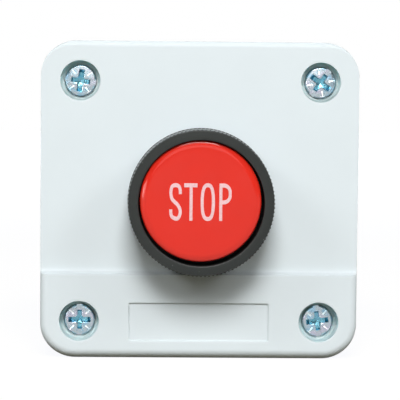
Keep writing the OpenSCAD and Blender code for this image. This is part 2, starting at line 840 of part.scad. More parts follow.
module terminal_clamps() {
    color([0.72, 0.74, 0.76]) stand()
        for (sy = [-1, 1]) translate([0, sy * terminal_y, strip_top])
            difference() {
                translate([-clamp_w / 2, -clamp_l / 2, 0]) cube([clamp_w, clamp_l, clamp_t]);
                translate([0, 0, -over]) cylinder(d = terminal_d + 2 * run_gap, h = clamp_t + 2 * over);
            }
}

module terminal_screws() {
    length = terminal_l - 2 * run_gap + strip_t + clamp_t;
    color([0.76, 0.8, 0.83]) stand()
        for (sy = [-1, 1]) translate([0, sy * terminal_y, strip_top + clamp_t]) {
            screw_head(terminal_head_d, terminal_head_h, 0, terminal_head_d * 0.16, 0,
                       terminal_head_h * 0.5);
            translate([0, 0, -length]) cylinder(d = terminal_d, h = length);
        }
}

base();
lid();
lid_gasket();
lid_screws();
head_gasket();
bezel();
head_barrel();
fixing_nut();
wiper_seal();
button_cap();
pusher();
retaining_clip();
return_spring();
block_base();
block_housing();
block_screws();
contact_plunger();
plunger_spring();
contact_bridge();
bridge_tips();
bridge_spring();
fixed_contact_upper();
fixed_contact_lower();
fixed_tips();
terminal_clamps();
terminal_screws();
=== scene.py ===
"""Dresses the pushbutton control station: its case, lid screws, bezel, red button and what they hold."""

import logging
import math
from dataclasses import dataclass, field
from enum import Enum
from typing import Callable, Iterable, Sequence

import bmesh
import bpy
from mathutils import Matrix, Vector
from mathutils.geometry import delaunay_2d_cdt


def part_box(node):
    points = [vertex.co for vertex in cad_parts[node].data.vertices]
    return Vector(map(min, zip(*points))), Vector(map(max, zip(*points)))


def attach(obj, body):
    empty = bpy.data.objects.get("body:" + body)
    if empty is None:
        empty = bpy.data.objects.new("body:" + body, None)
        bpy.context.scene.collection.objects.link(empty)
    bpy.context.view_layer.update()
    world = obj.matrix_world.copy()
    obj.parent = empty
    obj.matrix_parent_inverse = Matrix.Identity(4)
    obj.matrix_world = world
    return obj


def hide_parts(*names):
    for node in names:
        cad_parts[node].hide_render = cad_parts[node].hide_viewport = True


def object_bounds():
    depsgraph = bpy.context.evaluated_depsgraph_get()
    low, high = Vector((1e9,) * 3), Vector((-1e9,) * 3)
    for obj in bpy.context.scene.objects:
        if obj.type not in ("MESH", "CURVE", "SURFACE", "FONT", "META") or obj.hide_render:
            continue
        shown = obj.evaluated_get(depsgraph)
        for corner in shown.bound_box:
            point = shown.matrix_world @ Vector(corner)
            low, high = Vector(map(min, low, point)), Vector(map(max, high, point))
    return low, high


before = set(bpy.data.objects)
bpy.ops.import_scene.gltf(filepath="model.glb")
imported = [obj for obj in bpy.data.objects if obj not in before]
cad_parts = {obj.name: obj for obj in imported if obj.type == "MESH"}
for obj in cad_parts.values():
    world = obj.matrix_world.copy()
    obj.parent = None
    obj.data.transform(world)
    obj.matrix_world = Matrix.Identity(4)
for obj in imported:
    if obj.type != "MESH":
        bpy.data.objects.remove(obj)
CAD_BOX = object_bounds()

log = logging.getLogger("control_station")

# Millimetres, in which the pieces are drawn lying on their back: x right, y up the face, z out
MM = 0.001
STAND_UP = Matrix.Rotation(math.radians(90), 4, "X") @ Matrix.Scale(MM, 4)

# Edges sharper than this are shaded as edges, in degrees
EDGE_ANGLE = 32.0

# How outlines are filled, here with triangles inside them, and how near two points count as one
FILL_INSIDE = 1
SAME_POINT = 1e-7

# The signs of x and y in the four quarters of the face, anticlockwise
QUARTERS = ((1, 1), (-1, 1), (-1, -1), (1, -1))

# The span in which most of a noise's values lie
NOISE_SPAN = (0.3, 0.7)

Point = tuple[float, float]
Span = Point
Profile = list[Point]
Triple = tuple[float, float, float]
Colour = Triple
Ring = list[bmesh.types.BMVert]
Socket = bpy.types.NodeSocket


class Body(Enum):
    """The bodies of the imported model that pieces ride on."""

    ENCLOSURE = "enclosure"
    BUTTON = "button"


class Work(Enum):
    """What one solid does to another."""

    CUT = "DIFFERENCE"
    JOIN = "UNION"


@dataclass(frozen=True)
class Extent:
    """The box of a CAD node as the station lies on its back, in millimetres.

    Args:
        low: Its lowest corner.
        high: Its highest corner.
    """

    low: Vector
    high: Vector

    @classmethod
    def of(cls, node: str) -> "Extent":
        """Returns the extent of a CAD node, turned from the frame's axes."""
        low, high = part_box(node)
        return cls(Vector((low.x, low.z, -high.y)) / MM, Vector((high.x, high.z, -low.y)) / MM)

    @property
    def radius(self) -> float:
        """Half the width across x."""
        return (self.high.x - self.low.x) / 2


def box_of(node: str) -> Extent:
    """Returns the dataclass field that holds the extent of a CAD node."""
    return field(default_factory=lambda: Extent.of(node))


def mix(a: float, b: float, share: float) -> float:
    """Returns the value a share of the way from a to b."""
    return a + (b - a) * share


def arc(centre: Point, radius: float, start: float, end: float, steps: int) -> Profile:
    """Returns the points of an arc between two angles in degrees, in so many steps, with both ends."""
    angles = (math.radians(mix(start, end, i / steps)) for i in range(steps + 1))
    return [(centre[0] + radius * math.cos(a), centre[1] + radius * math.sin(a)) for a in angles]


def circle(radius: float, x: float = 0.0, y: float = 0.0, steps: int = 64) -> Profile:
    """Returns the points of a full circle about (x, y)."""
    return arc((x, y), radius, 0, 360, steps)[:-1]


def rectangle(x0: float, y0: float, x1: float, y1: float) -> Profile:
    """Returns the corners of a rectangle, anticlockwise."""
    return [(x0, y0), (x1, y0), (x1, y1), (x0, y1)]


def at_height(points: Profile, z: float) -> list[Vector]:
    """Returns flat points lifted to a height."""
    return [Vector((x, y, z)) for x, y in points]


def inside(point: Vector, outline: Sequence[Vector]) -> bool:
    """Says whether a point lies inside a closed outline, seen along z.

    Args:
        point: The point.
        outline: The outline's corners.

    Returns:
        True inside it and False outside.
    """
    hit = False
    for a, b in zip(outline, [*outline[1:], outline[0]]):
        if (a.y > point.y) != (b.y > point.y):
            if point.x < a.x + (point.y - a.y) * (b.x - a.x) / (b.y - a.y):
                hit = not hit
    return hit


class Solid:
    """A closed mesh in the making, in millimetres as the station lies on its back."""

    def __init__(self) -> None:
        """Starts an empty mesh, whose faces wear their object's first finish."""
        self.mesh = bmesh.new()
        self.finish_index = 0

    def ring(self, points: Iterable[Vector]) -> Ring:
        """Adds a ring of points and returns its vertices."""
        return [self.mesh.verts.new(p) for p in points]

    def face(self, corners: Sequence[bmesh.types.BMVert]) -> None:
        """Adds a face in the finish that is drawn with."""
        self.mesh.faces.new(corners).material_index = self.finish_index

    def strip(self, first: Ring, second: Ring, skip: Callable[[int], bool] | None = None) -> None:
        """Joins two rings of the same count with a band of quads.

        Args:
            first: Vertices of one ring.
            second: Vertices of the other ring.
            skip: Says which quads are left open, by their number.
        """
        count = len(first)
        for i in range(count):
            if skip is None or not skip(i):
                j = (i + 1) % count
                self.face((first[i], first[j], second[j], second[i]))

    def loft(self, rings: Sequence[Sequence[Vector]]) -> list[Ring]:
        """Joins rings one after the other.

        Args:
            rings: Their points, with the same count in each.

        Returns:
            The vertices of each ring.
        """
        made = [self.ring(ring) for ring in rings]
        for low, high in zip(made, made[1:]):
            self.strip(low, high)
        return made

    def cap(self, edge: Ring, holes: Sequence[Ring] = (), lines: Sequence[tuple] = ()) -> None:
        """Fills the area inside a ring with triangles.

        Args:
            edge: Vertices of the ring round the area.
            holes: Rings of vertices that stay open.
            lines: Pairs of vertices that a fold runs between.
        """
        loops = [edge, *holes]
        verts = [v for loop in loops for v in loop]
        number = {v: i for i, v in enumerate(verts)}
        edges = [(number[loop[i - 1]], number[loop[i]]) for loop in loops for i in range(len(loop))]
        edges += [(number[a], number[b]) for a, b in lines]
        flat = [Vector((v.co.x, v.co.y)) for v in verts]
        _, _, faces, came_from, _, _ = delaunay_2d_cdt(flat, edges, [], FILL_INSIDE, SAME_POINT)
        outer, *inner = [[v.co for v in loop] for loop in loops]
        for face in faces:
            corners = [verts[came_from[i][0]] for i in face]
            middle = sum((v.co for v in corners), Vector()) / len(corners)
            if inside(middle, outer) and not any(inside(middle, hole) for hole in inner):
                self.face(corners)

    def object(self, name: str) -> bpy.types.Object:
        """Ends the drawing and returns the solid as an object, still in millimetres.

        Args:
            name: The object's name.

        Returns:
            The new object, with its faces outwards.
        """
        bmesh.ops.recalc_face_normals(self.mesh, faces=self.mesh.faces)
        mesh = bpy.data.meshes.new(name)
        self.mesh.to_mesh(mesh)
        self.mesh.free()
        return added(name, mesh)


def added(name: str, data: bpy.types.ID) -> bpy.types.Object:
    """Returns a new object of the scene.

    Args:
        name: Its name.
        data: Its mesh, lamp or camera.

    Returns:
        The object.
    """
    made = bpy.data.objects.new(name, data)
    bpy.context.scene.collection.objects.link(made)
    return made


def prism(outline: Profile, low: float, high: float) -> bpy.types.Object:
    """Returns a solid with straight walls.

    Args:
        outline: Its outline.
        low: The height of its foot.
        high: The height of its top.

    Returns:
        The object, in millimetres.
    """
    solid = Solid()
    rings = solid.loft([at_height(outline, low), at_height(outline, high)])
    solid.cap(rings[0])
    solid.cap(rings[1])
    return solid.object("prism")


def pipe(outer: Profile, inner: Profile, low: float, high: float) -> bpy.types.Object:
    """Returns a wall with straight sides that runs round between two outlines.

    Args:
        outer: Its outer outline.
        inner: Its inner outline, with as many points.
        low: The height of its foot.
        high: The height of its top.

    Returns:
        The object, in millimetres.
    """
    solid = Solid()
    sides = ((outer, low), (outer, high), (inner, high), (inner, low))
    rings = solid.loft([at_height(outline, z) for outline, z in sides])
    solid.strip(rings[-1], rings[0])
    return solid.object("pipe")


def lathe(name: str, profile: Profile, steps: int, closed: bool = False) -> bpy.types.Object:
    """Returns a solid with a profile turned about the z axis.

    Args:
        name: The object's name.
        profile: Its points, each a radius and a height.
        steps: How many parts a full turn has.
        closed: Whether the last point joins the first, as round a ring. Otherwise both ends are filled.

    Returns:
        The object, in millimetres.
    """
    solid = Solid()
    rings = solid.loft([at_height(circle(r, steps=steps), z) for r, z in profile])
    if closed:
        solid.strip(rings[-1], rings[0])
    else:
        solid.cap(rings[0])
        solid.cap(rings[-1])
    return solid.object(name)


def evaluated_mesh(piece: bpy.types.Object) -> None:
    """Puts what the modifiers of a piece give in place of its mesh, and takes the modifiers off.

    Args:
        piece: The piece.
    """
    graph = bpy.context.evaluated_depsgraph_get()
    mesh = bpy.data.meshes.new_from_object(piece.evaluated_get(graph))
    piece.modifiers.clear()
    old, piece.data = piece.data, mesh
    bpy.data.meshes.remove(old)


def work(piece: bpy.types.Object, kind: Work, tools: Sequence[bpy.types.Object]) -> None:
    """Cuts or joins other solids to a piece, one by one, and deletes them.

    Args:
        piece: The solid that is worked on.
        kind: Whether the others are cut out or joined.
        tools: The other solids.
    """
    for tool in tools:
        change = piece.modifiers.new("work", "BOOLEAN")
        change.operation, change.solver, change.object = kind.value, "MANIFOLD", tool
    evaluated_mesh(piece)
    for tool in tools:
        mesh = tool.data
        bpy.data.objects.remove(tool)
        bpy.data.meshes.remove(mesh)


def turn_about(axis: str, degrees: float) -> Matrix:
    """Returns the turn about an axis."""
    return Matrix.Rotation(math.radians(degrees), 4, axis)


def turned(piece: bpy.types.Object, turn: Matrix) -> bpy.types.Object:
    """Turns or moves the mesh of a solid by a matrix and returns the solid."""
    piece.data.transform(turn)
    return piece


def wear(piece: bpy.types.Object, finishes: Sequence[bpy.types.Material]) -> None:
    """Puts materials into a piece's slots, and keeps the number that each face has.

    Args:
        piece: The piece.
        finishes: The materials, in the order of the faces' numbers.
    """
    slots = piece.data.materials
    for number, finish in enumerate(finishes):
        if number < len(slots):
            slots[number] = finish
        else:
            slots.append(finish)


def finished(
    piece: bpy.types.Object,
    name: str,
    finishes: Sequence[bpy.types.Material],
    body: Body,
    stands_for: Sequence[str] = (),
) -> None:
    """Stands a drawn piece up in the frame, shades it, dresses it and hangs it on its body.

    Args:
        piece: The solid, in millimetres, lying on its back.
        name: The piece's name.
        finishes: Its materials, in the order of its faces' numbers.
        body: The body that it rides on.
        stands_for: The CAD nodes that it replaces.
    """
    piece.name = piece.data.name = name
    piece.data.transform(STAND_UP)
    piece.data.shade_smooth()
    piece.data.set_sharp_from_angle(angle=math.radians(EDGE_ANGLE))
    wear(piece, finishes)
    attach(piece, body.value)
    if stands_for:
        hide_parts(*stands_for)
    log.info("%s: %d faces, rides on %s", name, len(piece.data.polygons), body.value)


class NodeNet:
    """A node tree in the making, with a short way to add its nodes and join them."""

    def __init__(self, tree: bpy.types.NodeTree) -> None:
        """Takes up a node tree."""
        self.tree = tree

    def feed(self, entry: Socket, value: object) -> None:
        """Joins an input to a socket, or gives it a value.

        Args:
            entry: The input.
            value: The socket or the value.
        """
        if isinstance(value, Socket):
            self.tree.links.new(value, entry)
        else:
            entry.default_value = value

    def node(self, kind: str, inputs: dict | None = None, **settings: object) -> bpy.types.Node:
        """Adds a node.

        Args:
            kind: Its type.
            inputs: Values or sockets for its inputs, by name or number.
            settings: Values of its own properties.

        Returns:
            The new node.
        """
        made = self.tree.nodes.new(kind)
        for key, value in settings.items():
            setattr(made, key, value)
        for key, value in (inputs or {}).items():
            self.feed(made.inputs[key], value)
        return made


class ShadeNet(NodeNet):
    """The shader nodes of a material or of the world."""

    def node(self, kind: str, inputs: dict | None = None, **settings: object) -> bpy.types.Node:
        """Adds a shader node, whose type is given without the leading ShaderNode."""
        return super().node("ShaderNode" + kind, inputs, **settings)

    def combined(self, operation: str, first: Socket, second: Socket) -> Socket:
        """Returns two values put together by an operation of the Math node."""
        return self.node("Math", {0: first, 1: second}, operation=operation).outputs[0]

    def span(self, value: Socket, source: Span, target: Span) -> Socket:
        """Returns a value spread from one span onto another, and held at its ends."""
        ends = dict(zip(("From Min", "From Max", "To Min", "To Max"), (*source, *target)))
        return self.node("MapRange", {"Value": value, **ends}).outputs[0]

    def between(self, share: Socket, first: object, second: object, kind: str = "FLOAT") -> Socket:
        """Returns a value between two, or a colour where the kind is RGBA, by a share from 0 to 1."""
        inputs = {"Factor": share, "A": first, "B": second}
        return self.node("Mix", inputs, data_type=kind).outputs["Result"]

    def seen_by(self, *rays: str) -> Socket:
        """Returns a value of 1 for rays of the given kinds and 0 for others.

        Args:
            rays: Names of the light path's outputs.

        Returns:
            The value's socket.
        """
        path = self.node("LightPath")
        total = path.outputs[rays[0]]
        for ray in rays[1:]:
            total = self.combined("MAXIMUM", total, path.outputs[ray])
        return total


class Surface(ShadeNet):
    """A material in the making, drawn on the coordinates of its object."""

    def __init__(self, name: str) -> None:
        """Starts a material with a Principled shader.

        Args:
            name: The material's name.
        """
        self.material = bpy.data.materials.new(name)
        self.material.use_nodes = True
        super().__init__(self.material.node_tree)
        self.shader = self.tree.nodes["Principled BSDF"]
        self.place = self.node("TexCoord").outputs["Object"]

    def noise(self, grain_mm: float, detail: float = 3.0, stretch: Triple = (1, 1, 1)) -> Socket:
        """Returns a noise in object coordinates.

        Args:
            grain_mm: The size of its grains, in millimetres.
            detail: How much fine detail it has.
            stretch: How much it is squeezed along each axis.

        Returns:
            The noise's value, about 0.5.
        """
        mapped = self.node("Mapping", {"Vector": self.place, "Scale": stretch})
        inputs = {"Vector": mapped.outputs[0], "Scale": 1 / (grain_mm * MM), "Detail": detail}
        return self.node("TexNoise", inputs).outputs[0]

    def ramp(self, value: Socket, places: Sequence[float], colours: Sequence[Colour]) -> Socket:
        """Returns the colour that a value takes on a ramp.

        Args:
            value: The value.
            places: Places on the ramp.
            colours: The colour at each of them.

        Returns:
            The colour's socket.
        """
        made = self.node("ValToRGB", {"Fac": value})
        elements = made.color_ramp.elements
        while len(elements) < len(places):
            elements.new(0.5)
        for element, place, colour in zip(elements, places, colours):
            element.position, element.color = place, (*colour, 1)
        return made.outputs["Color"]

    def bump(self, height: Socket, depth_mm: float, under: Socket | None = None) -> Socket:
        """Returns a surface roughened by a height.

        Args:
            height: The height, from 0 to 1.
            depth_mm: What a height of 1 stands for, in millimetres.
            under: A normal that this one lies on.

        Returns:
            The normal's socket.
        """
        inputs = {"Height": height, "Distance": depth_mm * MM, "Strength": 1.0}
        if under is not None:
            inputs["Normal"] = under
        return self.node("Bump", inputs).outputs[0]

    def gloss(self, noise: Socket, roughness: float, drift: Span) -> Socket:
        """Returns a roughness that wanders with a noise, by up to a drift below and above its mean."""
        return self.span(noise, NOISE_SPAN, (roughness - drift[0], roughness + drift[1]))

    def shade(self, **sockets: object) -> bpy.types.Material:
        """Sets the shader's inputs and returns the material.

        Args:
            sockets: Values or sockets, by the input's name with _ for a blank.

        Returns:
            The material.
        """
        for key, value in sockets.items():
            entry = self.shader.inputs[key.replace("_", " ")]
            whole = isinstance(value, tuple) and entry.type == "RGBA"
            self.feed(entry, (*value, 1) if whole else value)
        return self.material


def tinted(colour: Colour, by: Colour | float) -> Colour:
    """Returns a colour with each part multiplied, and held to 1."""
    factors = by if isinstance(by, tuple) else (by, by, by)
    return tuple(min(1.0, c * f) for c, f in zip(colour, factors))


@dataclass(frozen=True)
class MouldedPlastic:
    """A moulded plastic, with faint flow marks in its colour and a fine grain.

    Args:
        name: The material's name.
        colour: Its colour.
        roughness: Its mean roughness.
        mottle: How far the colour wanders, as a share.
        grain_mm: The size of its surface grain.
        relief_mm: The depth of that grain.
        shine: How strongly it mirrors, where 0.5 is a plain plastic.
        specks: How far pale specks stand out, as a share of white.
        upward_shade: How far painted shade dims the slopes that face up, against the highlights that the
            light from above gives them, as a share, low down and high up.
        depth_light: How much light comes back from under the surface, as a share.
        scatter_mm: How far red, green and blue light run under the surface.
        flow_mm: The size of its flow marks.
        gloss_mm: The size of the patches in which its roughness wanders.
        gloss_drift: How far its roughness wanders.
        shade_slope: The rise of the surface's normal at which the painted shade begins and at which it is
            full.
        shade_half_mm: How far below and above the button's middle the painted shade has its low and its
            high share.
        speck_mm: The size of the cells, each of which may hold a speck.
        speck_edge: Where a speck ends, from full to nothing, as a share of its cell.
        speck_choice: From what number between 0 and 1 a cell holds a faint speck, and from what a full one.
        speck_colour: The colour of the specks.
    """

    name: str
    colour: Colour
    roughness: float = 0.35
    mottle: float = 0.03
    grain_mm: float = 0.5
    relief_mm: float = 0.004
    shine: float = 0.5
    specks: float = 0.0
    # Painted shade on slopes that face up, low down and high up
    upward_shade: Span = (0.0, 0.0)
    depth_light: float = 0.0
    scatter_mm: Triple = (2.0, 2.4, 2.5)
    flow_mm: float = 9.0
    gloss_mm: float = 3.0
    gloss_drift: float = 0.04
    shade_slope: Span = (0.04, 0.6)
    shade_half_mm: float = 15.0
    speck_mm: float = 1.1
    speck_edge: Span = (0.07, 0.13)
    speck_choice: Span = (0.62, 0.9)
    speck_colour: Colour = (0.6, 0.62, 0.6)

    def material(self) -> bpy.types.Material:
        """Makes the finish.

        Returns:
            The material.
        """
        g = Surface(self.name)
        tones = [tinted(self.colour, 1 - self.mottle), tinted(self.colour, 1 + self.mottle)]
        colour = g.ramp(g.noise(self.flow_mm, detail=4.0), NOISE_SPAN, tones)
        if self.specks:
            colour = self.speckled(g, colour)
        # Painted shade on the slopes that face up, where the light from above falls brightest
        if any(self.upward_shade):
            colour = self.with_upward_shade(g, colour)
        return g.shade(
            Base_Color=colour,
            Roughness=g.gloss(g.noise(self.gloss_mm), self.roughness, (self.gloss_drift, self.gloss_drift)),
            Normal=g.bump(g.noise(self.grain_mm), self.relief_mm),
            Specular_IOR_Level=self.shine,
            Subsurface_Weight=self.depth_light,
            Subsurface_Radius=self.scatter_mm,
            Subsurface_Scale=MM,
        )

    def with_upward_shade(self, g: Surface, colour: Socket) -> Socket:
        """Dims a colour on slopes that face up, as painted shade against their highlights.

        Args:
            g: The material.
            colour: The colour.

        Returns:
            The dimmer colour's socket.
        """
        rise = g.node("SeparateXYZ", {"Vector": g.node("TexCoord").outputs["Normal"]}).outputs["Z"]
        slope = g.span(rise, self.shade_slope, (0.0, 1.0))
        height = g.node("SeparateXYZ", {"Vector": g.place}).outputs["Z"]
        half = self.shade_half_mm * MM
        shade_share = g.combined("MULTIPLY", slope, g.span(height, (-half, half), self.upward_shade))
        return g.between(shade_share, colour, (0, 0, 0, 1), "RGBA")

    def speckled(self, g: Surface, colour: Socket) -> Socket:
        """Strews pale, dusty specks over a colour.

        Args:
            g: The material.
            colour: The colour.

        Returns:
            The speckled colour's socket.
        """
        inputs = {"Vector": g.place, "Scale": 1 / (self.speck_mm * MM), "Randomness": 1.0}
        cells = g.node("TexVoronoi", inputs)
        near = g.span(cells.outputs["Distance"], self.speck_edge, (1.0, 0.0))
        chosen = g.node("SeparateColor", {"Color": cells.outputs["Color"]}).outputs[0]
        share = g.combined("MULTIPLY", near, g.span(chosen, self.speck_choice, (0.0, self.specks)))
        return g.between(share, colour, (*self.speck_colour, 1), "RGBA")


@dataclass(frozen=True)
class ZincPlate:
    """Steel with a bright zinc plate, whose colour drifts from blue to a faint violet.

    Args:
        name: The material's name.
        colour: Its mean colour.
        roughness: Its mean roughness.
        relief_mm: The depth of its surface waves.
        blue: The tint at one end of the drift.
        violet: The tint at its other end.
        places: Where the drift is blue, plain and violet, on a noise.
        drift_mm: The size of the patches of one tint.
        wave_mm: The size of its surface waves.
        pit_mm: The size of its pits.
        pit_share: The depth of the pits, as a share of the waves'.
        detail: How much fine detail its tints, waves and pits have.
        gloss_mm: The size of the patches in which its roughness wanders.
        gloss_drift: How far its roughness wanders, down and up.
    """

    name: str
    colour: Colour
    roughness: float = 0.22
    relief_mm: float = 0.02
    blue: Colour = (0.72, 0.95, 1.12)
    violet: Colour = (1.12, 0.98, 1.1)
    places: Triple = (0.32, 0.5, 0.66)
    drift_mm: float = 1.6
    wave_mm: float = 0.8
    pit_mm: float = 0.12
    pit_share: float = 0.12
    detail: float = 2.0
    gloss_mm: float = 0.5
    gloss_drift: Span = (0.08, 0.1)

    def material(self) -> bpy.types.Material:
        """Makes the finish.

        Returns:
            The material.
        """
        g = Surface(self.name)
        tones = [tinted(self.colour, self.blue), self.colour, tinted(self.colour, self.violet)]
        waves = g.bump(g.noise(self.wave_mm, self.detail), self.relief_mm)
        return g.shade(
            Base_Color=g.ramp(g.noise(self.drift_mm, self.detail), self.places, tones),
            Metallic=1.0,
            Roughness=g.gloss(g.noise(self.gloss_mm), self.roughness, self.gloss_drift),
            Normal=g.bump(g.noise(self.pit_mm, self.detail), self.relief_mm * self.pit_share, waves),
        )


@dataclass(frozen=True)
class BareMetal:
    """A drawn or rolled metal, with fine lines along z.

    Args:
        name: The material's name.
        colour: Its colour.
        roughness: Its mean roughness.
        line_mm: The size of its lines.
        stretch: How much the lines are squeezed along each axis.
        tones: The darkest and the lightest of them, as shares of the colour.
        relief_mm: Their depth.
        gloss_drift: How far its roughness wanders, down and up.
    """

    name: str
    colour: Colour
    roughness: float = 0.3
    line_mm: float = 0.3
    stretch: Triple = (6.0, 6.0, 0.6)
    tones: Span = (0.86, 1.08)
    relief_mm: float = 0.004
    gloss_drift: Span = (0.06, 0.08)

    def material(self) -> bpy.types.Material:
        """Makes the finish.

        Returns:
            The material.
        """
        g = Surface(self.name)
        lines = g.noise(self.line_mm, detail=4.0, stretch=self.stretch)
        return g.shade(
            Base_Color=g.ramp(lines, NOISE_SPAN, [tinted(self.colour, tone) for tone in self.tones]),
            Metallic=1.0,
            Roughness=g.gloss(lines, self.roughness, self.gloss_drift),
            Normal=g.bump(lines, self.relief_mm),
        )


@dataclass(frozen=True)
class WornCoat:
    """A matt surface in two tones: rubber with a dusty bloom, or the worn ink of the lettering.

    Args:
        name: The material's name.
        tones: Its two colours.
        places: Where it has the one and the other, on a noise.
        roughness: Its roughness.
        patch_mm: The size of its patches.
        grain_mm: The size of its surface grain.
        relief_mm: The depth of that grain.
    """

    name: str
    tones: tuple[Colour, Colour]
    places: Span
    roughness: float
    patch_mm: float
    grain_mm: float
    relief_mm: float

    def material(self) -> bpy.types.Material:
        """Makes the finish.

        Returns:
            The material.
        """
        g = Surface(self.name)
        colour = g.ramp(g.noise(self.patch_mm), self.places, self.tones)
        return g.shade(
            Base_Color=colour,
            Roughness=self.roughness,
            Normal=g.bump(g.noise(self.grain_mm), self.relief_mm),
        )


class Finishes:
    """Every finish of the station, made once."""

    def __init__(self) -> None:
        """Makes the materials."""
        # The case's slopes that face up, the step's fillet, the label's lower slope and the top edge, carry
        # painted shade against their highlights, more low down
        self.case = MouldedPlastic(
            "case_plastic", (0.75, 0.824, 0.855), roughness=0.6, mottle=0.008, grain_mm=0.6,
            relief_mm=0.002, shine=0.22, upward_shade=(0.26, 0.17),
        ).material()
        # The walls of the screw counterbores wear a teal copy of the case plastic: its tint is painted
        # reflection of the bluish zinc heads, and its walls that face up carry painted shade, more round
        # the upper screws
        self.bore = MouldedPlastic(
            "case_plastic_painted_hole_tint", (0.7, 0.88, 0.9), mottle=0.02, upward_shade=(0.3, 0.5), depth_light=0.7
        ).material()
        self.bezel = MouldedPlastic(
            "bezel_plastic", (0.0155, 0.0185, 0.017), roughness=0.38, mottle=0.1, grain_mm=0.22,
            relief_mm=0.012, shine=0.36, specks=0.3,
        ).material()
        # The flank and ribs wear a glossier copy of the bezel plastic at twice its lightness: the lower
        # roughness is real gloss, the lighter colour a painted sheen for the light band that the flank
        # throws back from the pale lid
        self.flank = MouldedPlastic(
            "bezel_plastic_flank_painted_sheen", (0.03, 0.034, 0.032), roughness=0.3, mottle=0.1, grain_mm=0.4,
            relief_mm=0.003, shine=0.36,
        ).material()
        self.head = MouldedPlastic(
            "head_plastic", (0.028, 0.028, 0.03), roughness=0.4, mottle=0.1
        ).material()
        # The red cap's slopes that face up carry painted shade against the highlight on its rim
        self.cap = MouldedPlastic(
            "cap_plastic", (0.77, 0.02, 0.007), roughness=0.11, mottle=0.02, grain_mm=0.8,
            relief_mm=0.001, shine=0.36, upward_shade=(0.3, 0.3),
        ).material()
        self.natural = MouldedPlastic("natural_plastic", (0.78, 0.75, 0.66), roughness=0.4).material()
        self.block = MouldedPlastic("block_plastic", (0.55, 0.55, 0.52), roughness=0.45).material()
        self.housing = MouldedPlastic(
            "housing_plastic", (0.035, 0.037, 0.04), roughness=0.45, mottle=0.1
        ).material()
        self.plunger = MouldedPlastic(
            "plunger_plastic", (0.62, 0.03, 0.02), roughness=0.38, mottle=0.04
        ).material()
        black = (0.02, 0.02, 0.02)
        self.rubber = WornCoat(
            "seal_rubber", (black, tinted(black, 1.6)), (0.35, 0.7), roughness=0.75, patch_mm=2.0,
            grain_mm=0.2, relief_mm=0.01,
        ).material()
        self.zinc = ZincPlate("zinc_steel", (0.43, 0.5, 0.535), roughness=0.2, relief_mm=0.03).material()
        # The cross recess wears a darker, bluer copy of the zinc plate: painted shade in the recess, with a
        # deeper blue tint
        self.recess = ZincPlate(
            "zinc_steel_painted_recess_shade", (0.15, 0.37, 0.45), roughness=0.24, relief_mm=0.12
        ).material()
        # The four marks wear a near-white, rough copy of the zinc plate: a painted glint on the marks
        self.struck_glint = ZincPlate("zinc_steel_painted_glint", (0.95, 0.97, 0.98), roughness=0.68).material()
        self.spring = BareMetal("spring_steel", (0.55, 0.56, 0.58)).material()
        self.brass = BareMetal("contact_brass", (0.75, 0.55, 0.28)).material()
        self.silver = BareMetal("contact_silver", (0.85, 0.86, 0.87), roughness=0.2).material()
        white = (0.9, 0.61, 0.63)
        self.ink = WornCoat(
            "lettering_ink", (tinted(white, (0.94, 0.84, 0.84)), white), (0.34, 0.6), roughness=0.4,
            patch_mm=0.35, grain_mm=0.15, relief_mm=0.004,
        ).material()


@dataclass(frozen=True)
class EdgePoint:
    """A point of the case's outline, by the centre and the angle of its round.

    Args:
        centre: Centre of the round that it lies on.
        angle: Its direction from there, in degrees.
        radius: Its distance from there.
    """

    centre: Point
    angle: float
    radius: float

    def drawn_in(self, across: float, along: float) -> Point:
        """Returns its place when the outline is drawn in.

        Args:
            across: How far the two sides are drawn in.
            along: How far the two ends are drawn in.

        Returns:
            The place, x and y.
        """
        a = math.radians(self.angle)
        x = self.centre[0] + (self.radius - across) * math.cos(a)
        y = self.centre[1] + (self.radius - along) * math.sin(a)
        return x, y


